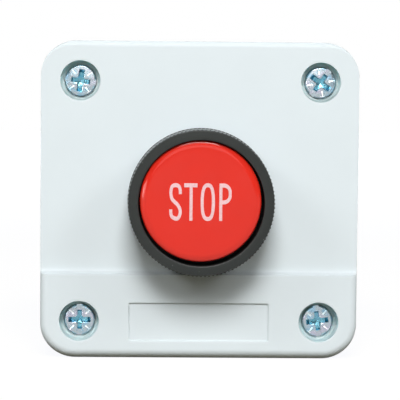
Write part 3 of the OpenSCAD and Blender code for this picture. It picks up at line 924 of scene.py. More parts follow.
@dataclass
class Enclosure:
    """The case: a base with rounded back edges and a lid with a raised band along its lower quarter."""

    finishes: Finishes
    lid: Extent = box_of("lid")
    base: Extent = box_of("base")
    gasket: Extent = box_of("head_gasket")
    bezel: Extent = box_of("bezel")
    screws: Extent = box_of("lid_screws")
    block: Extent = box_of("block_housing")
    block_base: Extent = box_of("block_base")
    corner_r: float = 7.5
    corner_steps: int = 20
    wall: float = 2.6
    back_edge: float = 1.0
    seam_edge: float = 0.22
    # Roundings of the lid: width and depth on the sides, both at the lower end, both at the top end
    side_edge: float = 1.6
    side_deep: float = 1.25
    low_edge: float = 2.0
    top_edge: float = 1.2
    edge_steps: int = 20
    crease: float = 0.4
    # The fillet between panel and band: how hollow it is, its run and steps, the round of the band's
    # edge, the gap before that, and how far the fillet's foot reaches under the bezel
    hollow: float = 2.6
    fillet_run: float = 1.3
    fillet_steps: int = 16
    band_round: float = 0.12
    band_gap: float = 0.004
    foot_gap: float = 1.0
    # How far beside an edge a row of points holds its shading: on the walls, on the face, round a bore
    wall_support: float = 0.5
    face_support: float = 0.35
    bore_support: float = 0.4
    # How far the lid's round goes on over the face, in degrees
    skin_end: float = 100
    # Counterbores of the lid screws
    counterbore_r: float = 4.25
    counterbore_edge: float = 0.08
    counterbore_cup: float = 0.8
    counterbore_cup_h: float = 1.6
    screw_shift: Point = (0.06, -0.26)
    screw_head_w: float = 6.9
    screw_head_h: float = 2.4
    shank_hole_r: float = 1.925
    pilot_r: float = 1.8
    post_wall: float = 1.2
    # The label recess
    label_half: float = 15.0
    label_low: float = 3.8
    label_h: float = 8.2
    label_corner: float = 0.25
    label_depth: float = 0.3
    label_slope: float = 0.27
    # Rings of its lip and of its foot: how far the ends and the upper side lie outside the recess, how far
    # the lower side does, and the depth. At the foot, the last two are counted from the slope and the floor
    label_lip: tuple[Triple, ...] = (
        (0.4, 0.4, 0), (0.08, 0.06, 0), (0.02, 0.02, 0.012), (-0.01, -0.04, 0.04), (-0.03, -0.08, 0.08),
    )
    label_foot: tuple[Triple, ...] = (
        (-0.09, 0.08, -0.05), (-0.12, 0.02, -0.015), (-0.17, -0.06, 0), (-0.5, -0.4, 0),
    )
    # The seal groove, the gap of the tongue in it and the hole of the head with its notch
    groove_in: float = 0.7
    groove_w: float = 1.2
    groove_top: float = 2.0
    tongue_gap: float = 0.1
    hole_r: float = 11.25
    notch_w: float = 3.2
    notch_deep: float = 1.7
    # The base's wall fixings and cable entries
    fixing_y: float = 27.0
    fixing_r: float = 2.25
    fixing_collar_r: float = 4.3
    fixing_collar_h: float = 2.0
    entry_r: float = 10.25
    entry_groove: float = 0.8
    entry_web: float = 1.0
    # What carries the contact block: two bosses, their holes and two ribs
    block_screw_x: float = 10.6
    block_screw_r: float = 1.5
    block_screw_low: float = 1.4
    boss_r: float = 3.2
    rib_half: float = 1.0
    rib_in: float = 3.0
    # Parts of a full circle on holes and bosses, and how far tools run past what they cut
    small_steps: int = 32
    wide_steps: int = 48
    over: float = 1.0

    def __post_init__(self) -> None:
        """Works out the heights and places that follow from the CAD nodes."""
        self.half = self.lid.radius
        self.seam = self.lid.low.z
        self.band = self.lid.high.z
        self.panel = self.gasket.low.z
        self.panel_in = self.panel - self.wall
        self.foot_y = -(self.bezel.radius - self.foot_gap)
        self.screw_at = self.screws.high.x - self.screw_head_w / 2
        self.seat = self.screws.high.z - self.screw_head_h
        self.step = self.step_profile()

    def step_profile(self) -> Profile:
        """Draws the step between panel and band.

        Returns:
            Places up the face, each with its height, from the step's foot down.
        """
        rise = self.band - self.panel
        made: Profile = []
        for i in range(self.fillet_steps + 1):
            turn = math.radians(90 * i / self.fillet_steps)
            run = self.fillet_run * math.sin(turn) ** (2 / self.hollow)
            height = rise * (1 - math.cos(turn) ** (2 / self.hollow))
            if height < rise - self.band_round:
                made.append((self.foot_y - run, self.panel + height))
        last = self.foot_y - self.fillet_run - self.band_gap
        centre = (last - self.band_round, self.band - self.band_round)
        return made + arc(centre, self.band_round, 0, 90, steps=5)

    def face_height(self, y: float) -> float:
        """Returns the height of the lid's face, away from its edges.

        Args:
            y: How far up the face.

        Returns:
            The height of the panel, the fillet or the band there.
        """
        if y >= self.step[0][0]:
            return self.panel
        for (y0, z0), (y1, z1) in zip(self.step, self.step[1:]):
            if y >= y1:
                return mix(z0, z1, (y0 - y) / (y0 - y1))
        return self.band

    def fold_lines(self) -> list[float]:
        """Returns the heights up the face at which the lid's sides have a point, from the lowest up."""
        places = [y for y, _ in self.step]
        return sorted([*places, places[0] + self.face_support, places[-1] - self.face_support])

    def outline(self, folds: Sequence[float] = ()) -> list[EdgePoint]:
        """Returns the case's outline, anticlockwise from the right.

        Args:
            folds: Heights up the face at which the two sides have a point.

        Returns:
            Its points.
        """
        c = self.half - self.corner_r
        made: list[EdgePoint] = []
        for quarter, (sx, sy) in enumerate(QUARTERS):
            for i in range(self.corner_steps + 1):
                angle = 90 * (quarter + i / self.corner_steps)
                made.append(EdgePoint((sx * c, sy * c), angle, self.corner_r))
            if quarter == 1:
                made += [EdgePoint((-c, y), 180, self.corner_r) for y in reversed(folds)]
            if quarter == 3:
                made += [EdgePoint((c, y), 0, self.corner_r) for y in folds]
        return made

    def inset(self, by: float) -> Profile:
        """Returns the case's outline, drawn in alike all round."""
        return [p.drawn_in(by, by) for p in self.outline()]

    def skin_ring(self, points: Sequence[EdgePoint], angle: float) -> list[Vector]:
        """Returns one ring of the lid's rounded edge.

        Args:
            points: The outline.
            angle: How far round the edge, from 0 at the wall to 90 on the face, or more on the face.

        Returns:
            The ring's points.
        """
        drawn = 1 - math.cos(math.radians(min(angle, 90))) + max(0.0, angle - 90) / 90
        climb = 1 - math.sin(math.radians(min(angle, 90)))
        made = []
        for p in points:
            upper = p.centre[1] > 0 and 0 < p.angle < 180
            share = math.sin(math.radians(p.angle)) ** 2
            along = self.top_edge if upper else self.low_edge
            x, y = p.drawn_in(self.side_edge * drawn, along * drawn)
            top = mix(self.band, self.panel, share if upper else 0.0)
            edge = top - mix(self.side_deep, along, share) * climb
            made.append(Vector((x, y, self.creased(edge, self.face_height(y), top))))
        return made

    def creased(self, edge: float, face: float, top: float) -> float:
        """Returns the lower of two heights, with a small rounding where they meet.

        Args:
            edge: The height of the rounded edge.
            face: The height of the face.
            top: The height that the edge runs up to.

        Returns:
            The height of the skin.
        """
        reach = self.crease * max(0.0, top - face) / (self.band - self.panel)
        low = min(edge, face)
        if reach <= 0 or abs(edge - face) >= reach:
            return low
        return low - (reach - abs(edge - face)) ** 2 / (4 * reach)

    def counterbore(self, solid: Solid, x: float, y: float) -> Ring:
        """Draws the hole of one screw head.

        Args:
            solid: The lid.
            x: The screw's place.
            y: The screw's place.

        Returns:
            The ring of vertices in the face, up to which the face is filled.
        """
        top, r, edge = self.face_height(y), self.counterbore_r, self.counterbore_edge
        cup, low, support = self.counterbore_cup, self.seat + self.counterbore_cup_h, self.bore_support
        mouth = [(r + edge + support, top), *arc((r + edge, top - edge), edge, 90, 180, steps=4)]
        bottom = arc((r - cup, low + cup), cup, 0, -90, steps=6)
        wall = [(r, top - edge - support), *bottom, (r - cup, self.seat)]
        rings = [solid.ring(at_height(circle(radius, x, y), z)) for radius, z in [*mouth, *wall]]
        for number, (a, b) in enumerate(zip(rings, rings[1:])):
            # From the foot of the mouth's round down, the walls wear the hole finish, with its painted tint
            # and shade
            solid.finish_index = int(number >= len(mouth) - 2)
            solid.strip(a, b)
        solid.cap(rings[-1])
        solid.finish_index = 0
        return rings[0]

    def label_ring(self, side: float, lower: float, depth: float) -> list[Vector]:
        """Returns one ring of the label recess.

        Args:
            side: How far its two ends and its upper side lie outside the recess.
            lower: How far its lower side does.
            depth: How far it lies under the band.

        Returns:
            The ring's points, with small round corners.
        """
        low = -self.half + self.label_low
        corner = self.label_corner + max(0.0, side)
        x, y0, y1 = self.label_half + side, low - lower, low + self.label_h + side
        made: Profile = []
        for quarter, (sx, sy) in enumerate(QUARTERS):
            centre = (sx * (x - corner), (y1 if sy > 0 else y0) - sy * corner)
            made += arc(centre, corner, 90 * quarter, 90 * (quarter + 1), steps=4)
        return at_height(made, self.band - depth)

    def label_recess(self, solid: Solid) -> Ring:
        """Draws the label recess.

        Args:
            solid: The lid.

        Returns:
            The ring of vertices in the face, up to which the face is filled.
        """
        slope, floor = self.label_slope, self.label_depth
        foot = [(side, lower - slope, floor + deep) for side, lower, deep in self.label_foot]
        rings = solid.loft([self.label_ring(*ring) for ring in (*self.label_lip, *foot)])
        solid.cap(rings[-1])
        return rings[0]

    def corners(self) -> list[Point]:
        """Returns the places of the four lid screws: upper left, upper right, lower left, lower right."""
        right, up = self.screw_shift
        return [(sx * self.screw_at + right, sy * self.screw_at + up) for sy in (1, -1) for sx in (-1, 1)]

    def hollow_outline(self) -> Profile:
        """Draws the hollow of the case.

        Returns:
            Its outline, which goes round the four corner posts.
        """
        post = self.counterbore_r + self.post_wall
        reach = self.half - self.wall
        s = self.screw_at
        quarter = [(reach, s - post), *arc((s, s), post, 270, 180, steps=10), (s - post, reach)]
        made: Profile = []
        for sx, sy in QUARTERS:
            points = [(sx * x, sy * y) for x, y in quarter]
            made += points if sx * sy > 0 else points[::-1]
        return made

    def lid_blank(self) -> bpy.types.Object:
        """Draws the lid's outer skin, with its counterbores and its label recess, closed along its rim.

        Returns:
            The object, in millimetres.
        """
        solid = Solid()
        folds = self.fold_lines()
        points = self.outline(folds)
        e, n = self.seam_edge, len(folds)
        rim = [(e - x, self.seam + y) for x, y in arc((0, e), e, 270, 360, steps=4)]
        rim.append((0, self.seam + e + self.wall_support))
        walls = [at_height([p.drawn_in(by, by) for p in points], z) for by, z in rim]
        skin = [self.skin_ring(points, 90 * i / self.edge_steps) for i in range(self.edge_steps + 1)]
        walls.append([v - Vector((0, 0, self.wall_support)) for v in skin[0]])
        rings = solid.loft([*walls, *skin, self.skin_ring(points, self.skin_end)])
        solid.cap(rings[0])
        left, right = rings[-1][2 * (self.corner_steps + 1):][:n], rings[-1][-n:]
        holes = [self.counterbore(solid, x, y) for x, y in self.corners()]
        holes.append(self.label_recess(solid))
        solid.cap(rings[-1], holes, list(zip(reversed(left), right)))
        return solid.object("lid")

    def posts(
        self, radius: float, places: Iterable[Point], low: float, high: float, wide: bool = False
    ) -> list[bpy.types.Object]:
        """Returns round posts between two heights, as solids or as tools. Wide ones have more steps."""
        steps = self.wide_steps if wide else self.small_steps
        return [prism(circle(radius, x, y, steps), low, high) for x, y in places]

    def make_lid(self) -> None:
        """Builds the lid, hollows it and dresses it."""
        lid = self.lid_blank()
        finishes = [self.finishes.case, self.finishes.bore]
        wear(lid, finishes)
        o = self.over
        outer, inner = self.inset(self.groove_in), self.inset(self.groove_in + self.groove_w)
        notch = rectangle(-self.notch_w / 2, 0, self.notch_w / 2, self.hole_r + self.notch_deep)
        work(lid, Work.CUT, [
            prism(self.hollow_outline(), self.seam - o, self.panel_in),
            pipe(outer, inner, self.seam - o, self.seam + self.groove_top),
            prism(circle(self.hole_r), self.panel_in - o, self.panel + o),
            prism(notch, self.panel_in - o, self.panel + o),
            *self.posts(self.shank_hole_r, self.corners(), self.seam - o, self.seat + o),
        ])
        finished(lid, "lid_shell", finishes, Body.ENCLOSURE, ["lid"])

    def base_blank(self) -> bpy.types.Object:
        """Draws the base's outer skin, closed at the seam and at the back.

        Returns:
            The object, in millimetres.
        """
        solid = Solid()
        points = self.outline()
        b, e, support = self.back_edge, self.seam_edge, self.wall_support
        back = [(b - x, b + y) for x, y in arc((0, 0), b, 270, 360, steps=8)]
        front = [(e - x, self.seam - e + y) for x, y in arc((0, 0), e, 0, 90, steps=4)]
        heights = [(b + support, 0.0), *back, (0, b + support), (0, self.seam - e - support), *front]
        rings = solid.loft([at_height([p.drawn_in(by, by) for p in points], z) for by, z in heights])
        solid.cap(rings[0])
        solid.cap(rings[-1])
        return solid.object("base")

    def base_inside(self) -> list[bpy.types.Object]:
        """Draws what stands in the base: the tongue, the block's bosses and ribs, the fixing collars.

        Returns:
            The objects, in millimetres.
        """
        sunk, boss_top, collar_top = self.wall / 2, self.block_base.low.z, self.wall + self.fixing_collar_h
        t0, t1 = self.groove_in + self.tongue_gap, self.groove_in + self.groove_w - self.tongue_gap
        made = [pipe(self.inset(t0), self.inset(t1), self.seam - 2 * sunk, self.base.high.z)]
        made += self.posts(self.boss_r, self.block_screws(), sunk, boss_top)
        for s in (-1, 1):
            y = s * (self.block.high.y - self.rib_in)
            rib = rectangle(self.block.low.x, y - self.rib_half, self.block.high.x, y + self.rib_half)
            made.append(prism(rib, sunk, boss_top))
            made += self.posts(self.fixing_collar_r, [(0, s * self.fixing_y)], sunk, collar_top, wide=True)
            ends = sorted((s * self.fixing_y, s * (self.half - self.wall / 2)))
            made.append(prism(rectangle(-self.fixing_r, ends[0], self.fixing_r, ends[1]), sunk, collar_top))
        return made

    def block_screws(self) -> list[Point]:
        """Returns the places of the contact block's two screws."""
        return [(s * self.block_screw_x, 0) for s in (-1, 1)]

    def entry_tool(self, turn: float) -> bpy.types.Object:
        """Draws the tool for the groove round one cable entry.

        Args:
            turn: How far it is turned from the back, in degrees: 90 or -90.

        Returns:
            The tool, at its place.
        """
        low, high = self.half - self.wall + self.entry_web, self.half + self.over
        groove = pipe(circle(self.entry_r), circle(self.entry_r - self.entry_groove), low, high)
        place = Matrix.Translation((0, 0, (self.seam + self.wall) / 2))
        return turned(groove, place @ turn_about("X", turn))

    def make_base(self) -> None:
        """Builds the base, hollows it, and adds what stands in it, its holes and its cable entries."""
        base, o, boss_top = self.base_blank(), self.over, self.block_base.low.z
        work(base, Work.CUT, [prism(self.hollow_outline(), self.wall, self.seam + o)])
        work(base, Work.JOIN, self.base_inside())
        fixings = [(0, s * self.fixing_y) for s in (-1, 1)]
        work(base, Work.CUT, [
            *self.posts(self.fixing_r, fixings, -o, self.wall + self.fixing_collar_h + o, wide=True),
            *self.posts(self.pilot_r, self.corners(), self.screws.low.z - o, self.seam + o),
            *self.posts(self.block_screw_r, self.block_screws(), self.block_screw_low, boss_top + o),
            *[self.entry_tool(turn) for turn in (90, -90)],
        ])
        finished(base, "base_shell", [self.finishes.case], Body.ENCLOSURE, ["base"])

    def build(self) -> None:
        """Builds both halves of the case."""
        self.make_base()
        self.make_lid()


@dataclass
class LidScrews:
    """Four pan head screws with a slot, a cross recess and four short marks between its arms."""

    finishes: Finishes
    places: list[Point]
    seat: float
    # The head, which stands on its seat, and the shank with its tip
    head_r: float = 3.35
    head_h: float = 2.4
    head_chamfer: float = 0.1
    head_steps: int = 72
    crown: float = 0.1
    crown_steps: int = 8
    rim_round: float = 0.42
    rim_turn: float = 86
    shank_r: float = 1.75
    tip_r: float = 0.35
    tip_h: float = 3.2
    # The slot and the cross recess, whose arms and core narrow towards their bottom
    slot_w: float = 1.25
    slot_deep: float = 0.55
    arm_w: float = 1.15
    arm_reach: float = 2.4
    arm_taper: float = 0.72
    recess_deep: float = 1.0
    recess_cone: float = 0.42
    recess_r: float = 0.95
    core_tip_r: float = 0.05
    core_mouth: float = 1.06
    core_steps: int = 24
    # The flare round the recess: its depth, and its slope in degrees
    flare_deep: float = 0.07
    flare: float = 25
    # The four marks: how far from the axis they begin, their width and their depth
    mark_from: float = 1.75
    mark_w: float = 0.5
    mark_deep: float = 0.13
    # Where a face counts as a mark's: its slope, how far before the mark's start and how far inside the
    # head's edge it may lie, how far it leans along the mark, and degrees off the mark's line
    mark_slope: Span = (0.15, 0.8)
    mark_margin: Span = (0.05, 0.2)
    mark_across: float = 0.2
    mark_spread: float = 12
    # Where faces count as the recess's own: how far from the axis and how high at least
    recess_reach: float = 2.6
    recess_floor: float = 0.3
    same_height: float = 0.01
    over: float = 0.5
    # Turn of each screw's slot, in degrees
    turns: tuple[float, float, float, float] = (-8, 55, 90, 97)

    def head(self) -> bpy.types.Object:
        """Draws a screw with a plain head, standing with its seat at height 0.

        Returns:
            The screw, in millimetres.
        """
        low = Extent.of("lid_screws").low.z - self.seat
        r, edge, steps, chamfer = self.head_r, self.rim_round, self.crown_steps, self.head_chamfer
        side_top = self.head_h - self.crown - edge
        _, *rounded = arc((r - edge, side_top), edge, 0, self.rim_turn, steps)
        last_r, last_h = rounded[-1]
        shares = [1 - i / steps for i in range(1, steps)]
        crown = [(last_r * share, mix(last_h, self.head_h, 1 - share**2)) for share in shares]
        shank = [(self.tip_r, low), (self.shank_r, low + self.tip_h), (self.shank_r, 0)]
        side = [(r - chamfer, 0), (r, chamfer), (r, side_top)]
        return lathe("screw", [*shank, *side, *rounded, *crown], self.head_steps)

    def arm(self) -> bpy.types.Object:
        """Draws the tool for two arms of the cross recess, which opens in a flare at the head's face.

        Returns:
            The tool, lying along x.
        """
        low, high = self.head_h - self.recess_deep, self.head_h - self.flare_deep
        spread = (self.flare_deep + self.over) / math.tan(math.radians(self.flare))
        rings = []
        for z, share, out in ((low, self.arm_taper, 0), (high, 1, 0), (self.head_h + self.over, 1, spread)):
            x, y = self.arm_reach * share + out, self.arm_w * share / 2 + out
            rings.append(at_height(rectangle(-x, -y, x, y), z))
        solid = Solid()
        made = solid.loft(rings)
        solid.cap(made[0])
        solid.cap(made[-1])
        return solid.object("arm")

    def core(self) -> bpy.types.Object:
        """Draws the tool for the middle of the cross recess, with a cone at its bottom.

        Returns:
            The tool, in millimetres.
        """
        low, r = self.head_h - self.recess_deep, self.recess_r
        mouth = (r * self.core_mouth, self.head_h + self.over)
        return lathe("core", [(self.core_tip_r, low - self.recess_cone), (r, low), mouth], self.core_steps)

    def mark(self, turn: float) -> bpy.types.Object:
        """Draws the tool for one short mark, a shallow groove like a V.

        Args:
            turn: The mark's direction, in degrees.

        Returns:
            The tool, in millimetres.
        """
        low, high = self.head_h - self.mark_deep, self.head_h + self.over
        half = self.mark_w / 2 * (high - low) / self.mark_deep
        section = ((0, low), (half, high), (-half, high))
        solid = Solid()
        for end in solid.loft([
            [Vector((x, y, z)) for y, z in section] for x in (self.mark_from, self.head_r + self.over)
        ]):
            solid.face(end)
        return turned(solid.object("mark"), turn_about("Z", turn))

    def is_mark(self, middle: Vector, normal: Vector) -> bool:
        """Says whether a face of the head lies in one of the four marks.

        Args:
            middle: The face's middle.
            normal: Its normal.

        Returns:
            True in a mark and False elsewhere.
        """
        reach, slope = math.hypot(*middle.xy), math.hypot(*normal.xy)
        off = abs(math.degrees(math.atan2(middle.y, middle.x)) % 90 - 45)
        sloped = self.mark_slope[0] < slope < self.mark_slope[1]
        placed = self.mark_from - self.mark_margin[0] < reach < self.head_r - self.mark_margin[1]
        sideways = abs(normal.xy.dot(middle.xy)) < self.mark_across * reach
        return off < self.mark_spread and sloped and placed and sideways

    def finish_number(self, face: bpy.types.MeshPolygon) -> int:
        """Says what a face of the screw wears.

        Args:
            face: The face.

        Returns:
            0 for the plain plate, 1 for the recess's plate with its painted shade and 2 for the marks'
            plate with its painted glint.
        """
        middle = face.center
        if self.is_mark(middle, face.normal):
            return 2
        recess_top = self.head_h - self.crown - self.mark_deep
        in_recess = self.recess_floor < middle.z < recess_top and math.hypot(*middle.xy) < self.recess_reach
        in_slot = abs(middle.z - (self.head_h - self.slot_deep)) < self.same_height
        return int(in_recess and not in_slot)

    def build(self) -> None:
        """Builds the four screws as one piece."""
        pattern = self.head()
        reach = self.head_r + self.over
        slot = rectangle(-reach, -self.slot_w / 2, reach, self.slot_w / 2)
        work(pattern, Work.CUT, [
            prism(slot, self.head_h - self.slot_deep, self.head_h + self.over),
            self.arm(),
            turned(self.arm(), turn_about("Z", 90)),
            self.core(),
            *[self.mark(turn) for turn in (45, 135, 225, 315)],
        ])
        for face in pattern.data.polygons:
            face.material_index = self.finish_number(face)
        whole = bmesh.new()
        for (x, y), turn in zip(self.places, self.turns):
            copy = pattern.data.copy()
            copy.transform(Matrix.Translation((x, y, self.seat)) @ turn_about("Z", turn))
            whole.from_mesh(copy)
            bpy.data.meshes.remove(copy)
        whole.to_mesh(pattern.data)
        whole.free()
        finishes = [self.finishes.zinc, self.finishes.recess, self.finishes.struck_glint]
        finished(pattern, "lid_screw_set", finishes, Body.ENCLOSURE, ["lid_screws"])


class ShapeNet(NodeNet):
    """A Geometry Nodes tree in the making, with named inputs."""

    def __init__(self, name: str) -> None:
        """Starts a tree that puts out a mesh.

        Args:
            name: The tree's name.
        """
        super().__init__(bpy.data.node_groups.new(name, "GeometryNodeTree"))
        for way in ("INPUT", "OUTPUT"):
            self.tree.interface.new_socket("Geometry", in_out=way, socket_type="NodeSocketGeometry")
        self.entry = self.node("NodeGroupInput")
        self.exit = self.node("NodeGroupOutput")
        self.identifiers: dict[str, str] = {}

    def size(self, name: str, kind: str = "NodeSocketFloat") -> Socket:
        """Adds a named input.

        Args:
            name: Its name.
            kind: Its type.

        Returns:
            Its socket inside the tree.
        """
        socket = self.tree.interface.new_socket(name, in_out="INPUT", socket_type=kind)
        self.identifiers[name] = socket.identifier
        return next(s for s in self.entry.outputs if s.identifier == socket.identifier)

    def end(self, geometry: Socket) -> None:
        """Ends the tree in Realize Instances and Set Material.

        Args:
            geometry: What the tree has made.
        """
        real = self.node("GeometryNodeRealizeInstances", {"Geometry": geometry}).outputs[0]
        finish = self.size("Finish", "NodeSocketMaterial")
        dressed = self.node("GeometryNodeSetMaterial", {"Geometry": real, "Material": finish})
        self.feed(self.exit.inputs[0], dressed.outputs[0])

    def apply(self, name: str, values: dict[str, object]) -> bpy.types.Object:
        """Runs the tree on an empty mesh and returns what it makes, as a plain mesh.

        Args:
            name: The new object's name.
            values: Values of the named inputs.

        Returns:
            The new object, in the tree's own units.
        """
        made = added(name, bpy.data.meshes.new(name))
        modifier = made.modifiers.new("net", "NODES")
        modifier.node_group = self.tree
        for key, value in values.items():
            modifier[self.identifiers[key]] = value
        evaluated_mesh(made)
        return made


def rib_net() -> ShapeNet:
    """Draws the tree that sets round ribs along the flank of a ring.

    Returns:
        The tree.
    """
    net = ShapeNet("flank_ribs")
    count = net.size("Ribs", "NodeSocketInt")
    low_r, high_r = net.size("Rear radius"), net.size("Front radius")
    low_z, high_z = net.size("Rear height"), net.size("Front height")
    rib_r, sides = net.size("Rib radius"), net.size("Rib sides", "NodeSocketInt")
    start = net.node("ShaderNodeCombineXYZ", {"X": low_r, "Z": low_z}).outputs[0]
    end = net.node("ShaderNodeCombineXYZ", {"X": high_r, "Z": high_z}).outputs[0]
    line = net.node("GeometryNodeCurvePrimitiveLine", {"Start": start, "End": end}).outputs[0]
    inputs = {"Resolution": sides, "Radius": rib_r}
    section = net.node("GeometryNodeCurvePrimitiveCircle", inputs).outputs[0]
    rod = net.node("GeometryNodeCurveToMesh", {"Curve": line, "Profile Curve": section, "Fill Caps": True})
    points = net.node("GeometryNodePoints", {"Count": count}).outputs[0]
    index = net.node("GeometryNodeInputIndex").outputs[0]
    share = net.node("ShaderNodeMath", {0: index, 1: count}, operation="DIVIDE").outputs[0]
    angle = net.node("ShaderNodeMath", {0: share, 1: 2 * math.pi}, operation="MULTIPLY").outputs[0]
    turn = net.node("ShaderNodeCombineXYZ", {"Z": angle}).outputs[0]
    inputs = {"Points": points, "Instance": rod.outputs[0], "Rotation": turn}
    net.end(net.node("GeometryNodeInstanceOnPoints", inputs).outputs[0])
    return net


@dataclass
class PushbuttonHead:
    """The head in the lid: its ribbed bezel, while the CAD's gasket, barrel, nut and wiper seal stay."""

    finishes: Finishes
    bezel: Extent = box_of("bezel")
    cap: Extent = box_of("button_cap")
    # How far the ring sits to the right, and how much wider than the solid it is, as the photograph has it
    shift: float = 0.2
    grow: float = 0.07
    ring_steps: int = 240
    cap_gap: float = 0.5
    lip_bore_r: float = 11.1
    lip: float = 1.1
    rear_chamfer: float = 0.5
    # The front: where its flat ends, its rounds, the width of the even band round the bore, and the
    # depth in the bore at which a row of points holds the shading
    front_flat_r: float = 15.02
    front_round: float = 0.16
    bore_round: float = 0.22
    bore_band: float = 0.3
    bore_support: float = 1.0
    # The flank: the plain rim behind the ribs, the rounds of rim and shoulder, the shoulder's depth in
    # front rounds and its turn in degrees, and how far the flank leans in towards the front
    rear_rim: float = 1.1
    rim_edge: float = 0.1
    shoulder_r: float = 0.1
    shoulder_low: float = 2.5
    shoulder_turn: float = 60
    draft: float = 0.2
    # Slope under which a face outside the front's round counts as flank, and that round's share
    flank_slope: float = 0.3
    flank_share: float = 0.5
    # The ribs: how far they stand out, how far they reach into the rim and how far they stay off the
    # outer face, and where they end, in front rounds
    ribs: int = 112
    rib_sides: int = 8
    rib_r: float = 0.22
    rib_out: float = 0.14
    rib_root: float = 0.2
    rib_sunk: float = 0.02
    rib_low: float = 2.4

    def ring_profile(self, outer: float, rim_top: float) -> Profile:
        """Draws the section of the bezel's ring.

        Args:
            outer: Its outer radius.
            rim_top: The height of the plain rim.

        Returns:
            Radii and heights, round the section from the lip's rear.
        """
        rear, front, chamfer = self.bezel.low.z, self.bezel.high.z, self.rear_chamfer
        flank, bore = outer - self.rib_out, self.cap.radius + self.cap_gap
        edge, inner = self.front_round, self.bore_round
        shoulder_at = (flank - self.draft - self.shoulder_r, front - self.shoulder_low * edge)
        return [
            (self.lip_bore_r, rear),
            (outer - chamfer, rear),
            *arc((outer - chamfer, rear + chamfer), chamfer, 290, 360, steps=5),
            (outer, rim_top - self.rim_edge),
            (outer - self.rim_edge, rim_top),
            (flank, rim_top),
            *arc(shoulder_at, self.shoulder_r, 0, self.shoulder_turn, steps=3),
            *arc((self.front_flat_r, front - edge), edge, 0, 90, steps=5),
            (bore + inner + self.bore_band, front),
            *arc((bore + inner, front - inner), inner, 90, 180, steps=4),
            (bore, front - self.bore_support),
            (bore, rear + self.lip),
            (self.lip_bore_r, rear + self.lip),
        ]

    def build(self) -> None:
        """Builds the bezel's ring and its ribs."""
        outer, rim_top = self.bezel.radius + self.grow, self.bezel.low.z + self.rear_rim
        ring = lathe("bezel_ring_blank", self.ring_profile(outer, rim_top), self.ring_steps, closed=True)
        # Faces of the flank wear the flank finish, with its painted sheen
        edge_r = self.front_flat_r + self.flank_share * self.front_round
        for face in ring.data.polygons:
            outside = math.hypot(*face.center.xy) > edge_r
            face.material_index = int(outside and abs(face.normal.z) < self.flank_slope)
        ribs = rib_net().apply("ribs", {
            "Ribs": self.ribs,
            "Rear radius": outer - self.rib_r - self.rib_sunk,
            "Front radius": outer - self.rib_r - self.draft,
            "Rear height": rim_top - self.rib_root,
            "Front height": self.bezel.high.z - self.rib_low * self.front_round,
            "Rib radius": self.rib_r,
            "Rib sides": self.rib_sides,
            "Finish": self.finishes.flank,
        })
        aside = Matrix.Translation((self.shift, 0, 0))
        worn = [self.finishes.bezel, self.finishes.flank]
        finished(turned(ring, aside), "bezel_ring", worn, Body.ENCLOSURE, ["bezel"])
        finished(turned(ribs, aside), "bezel_ribs", worn[1:], Body.ENCLOSURE)


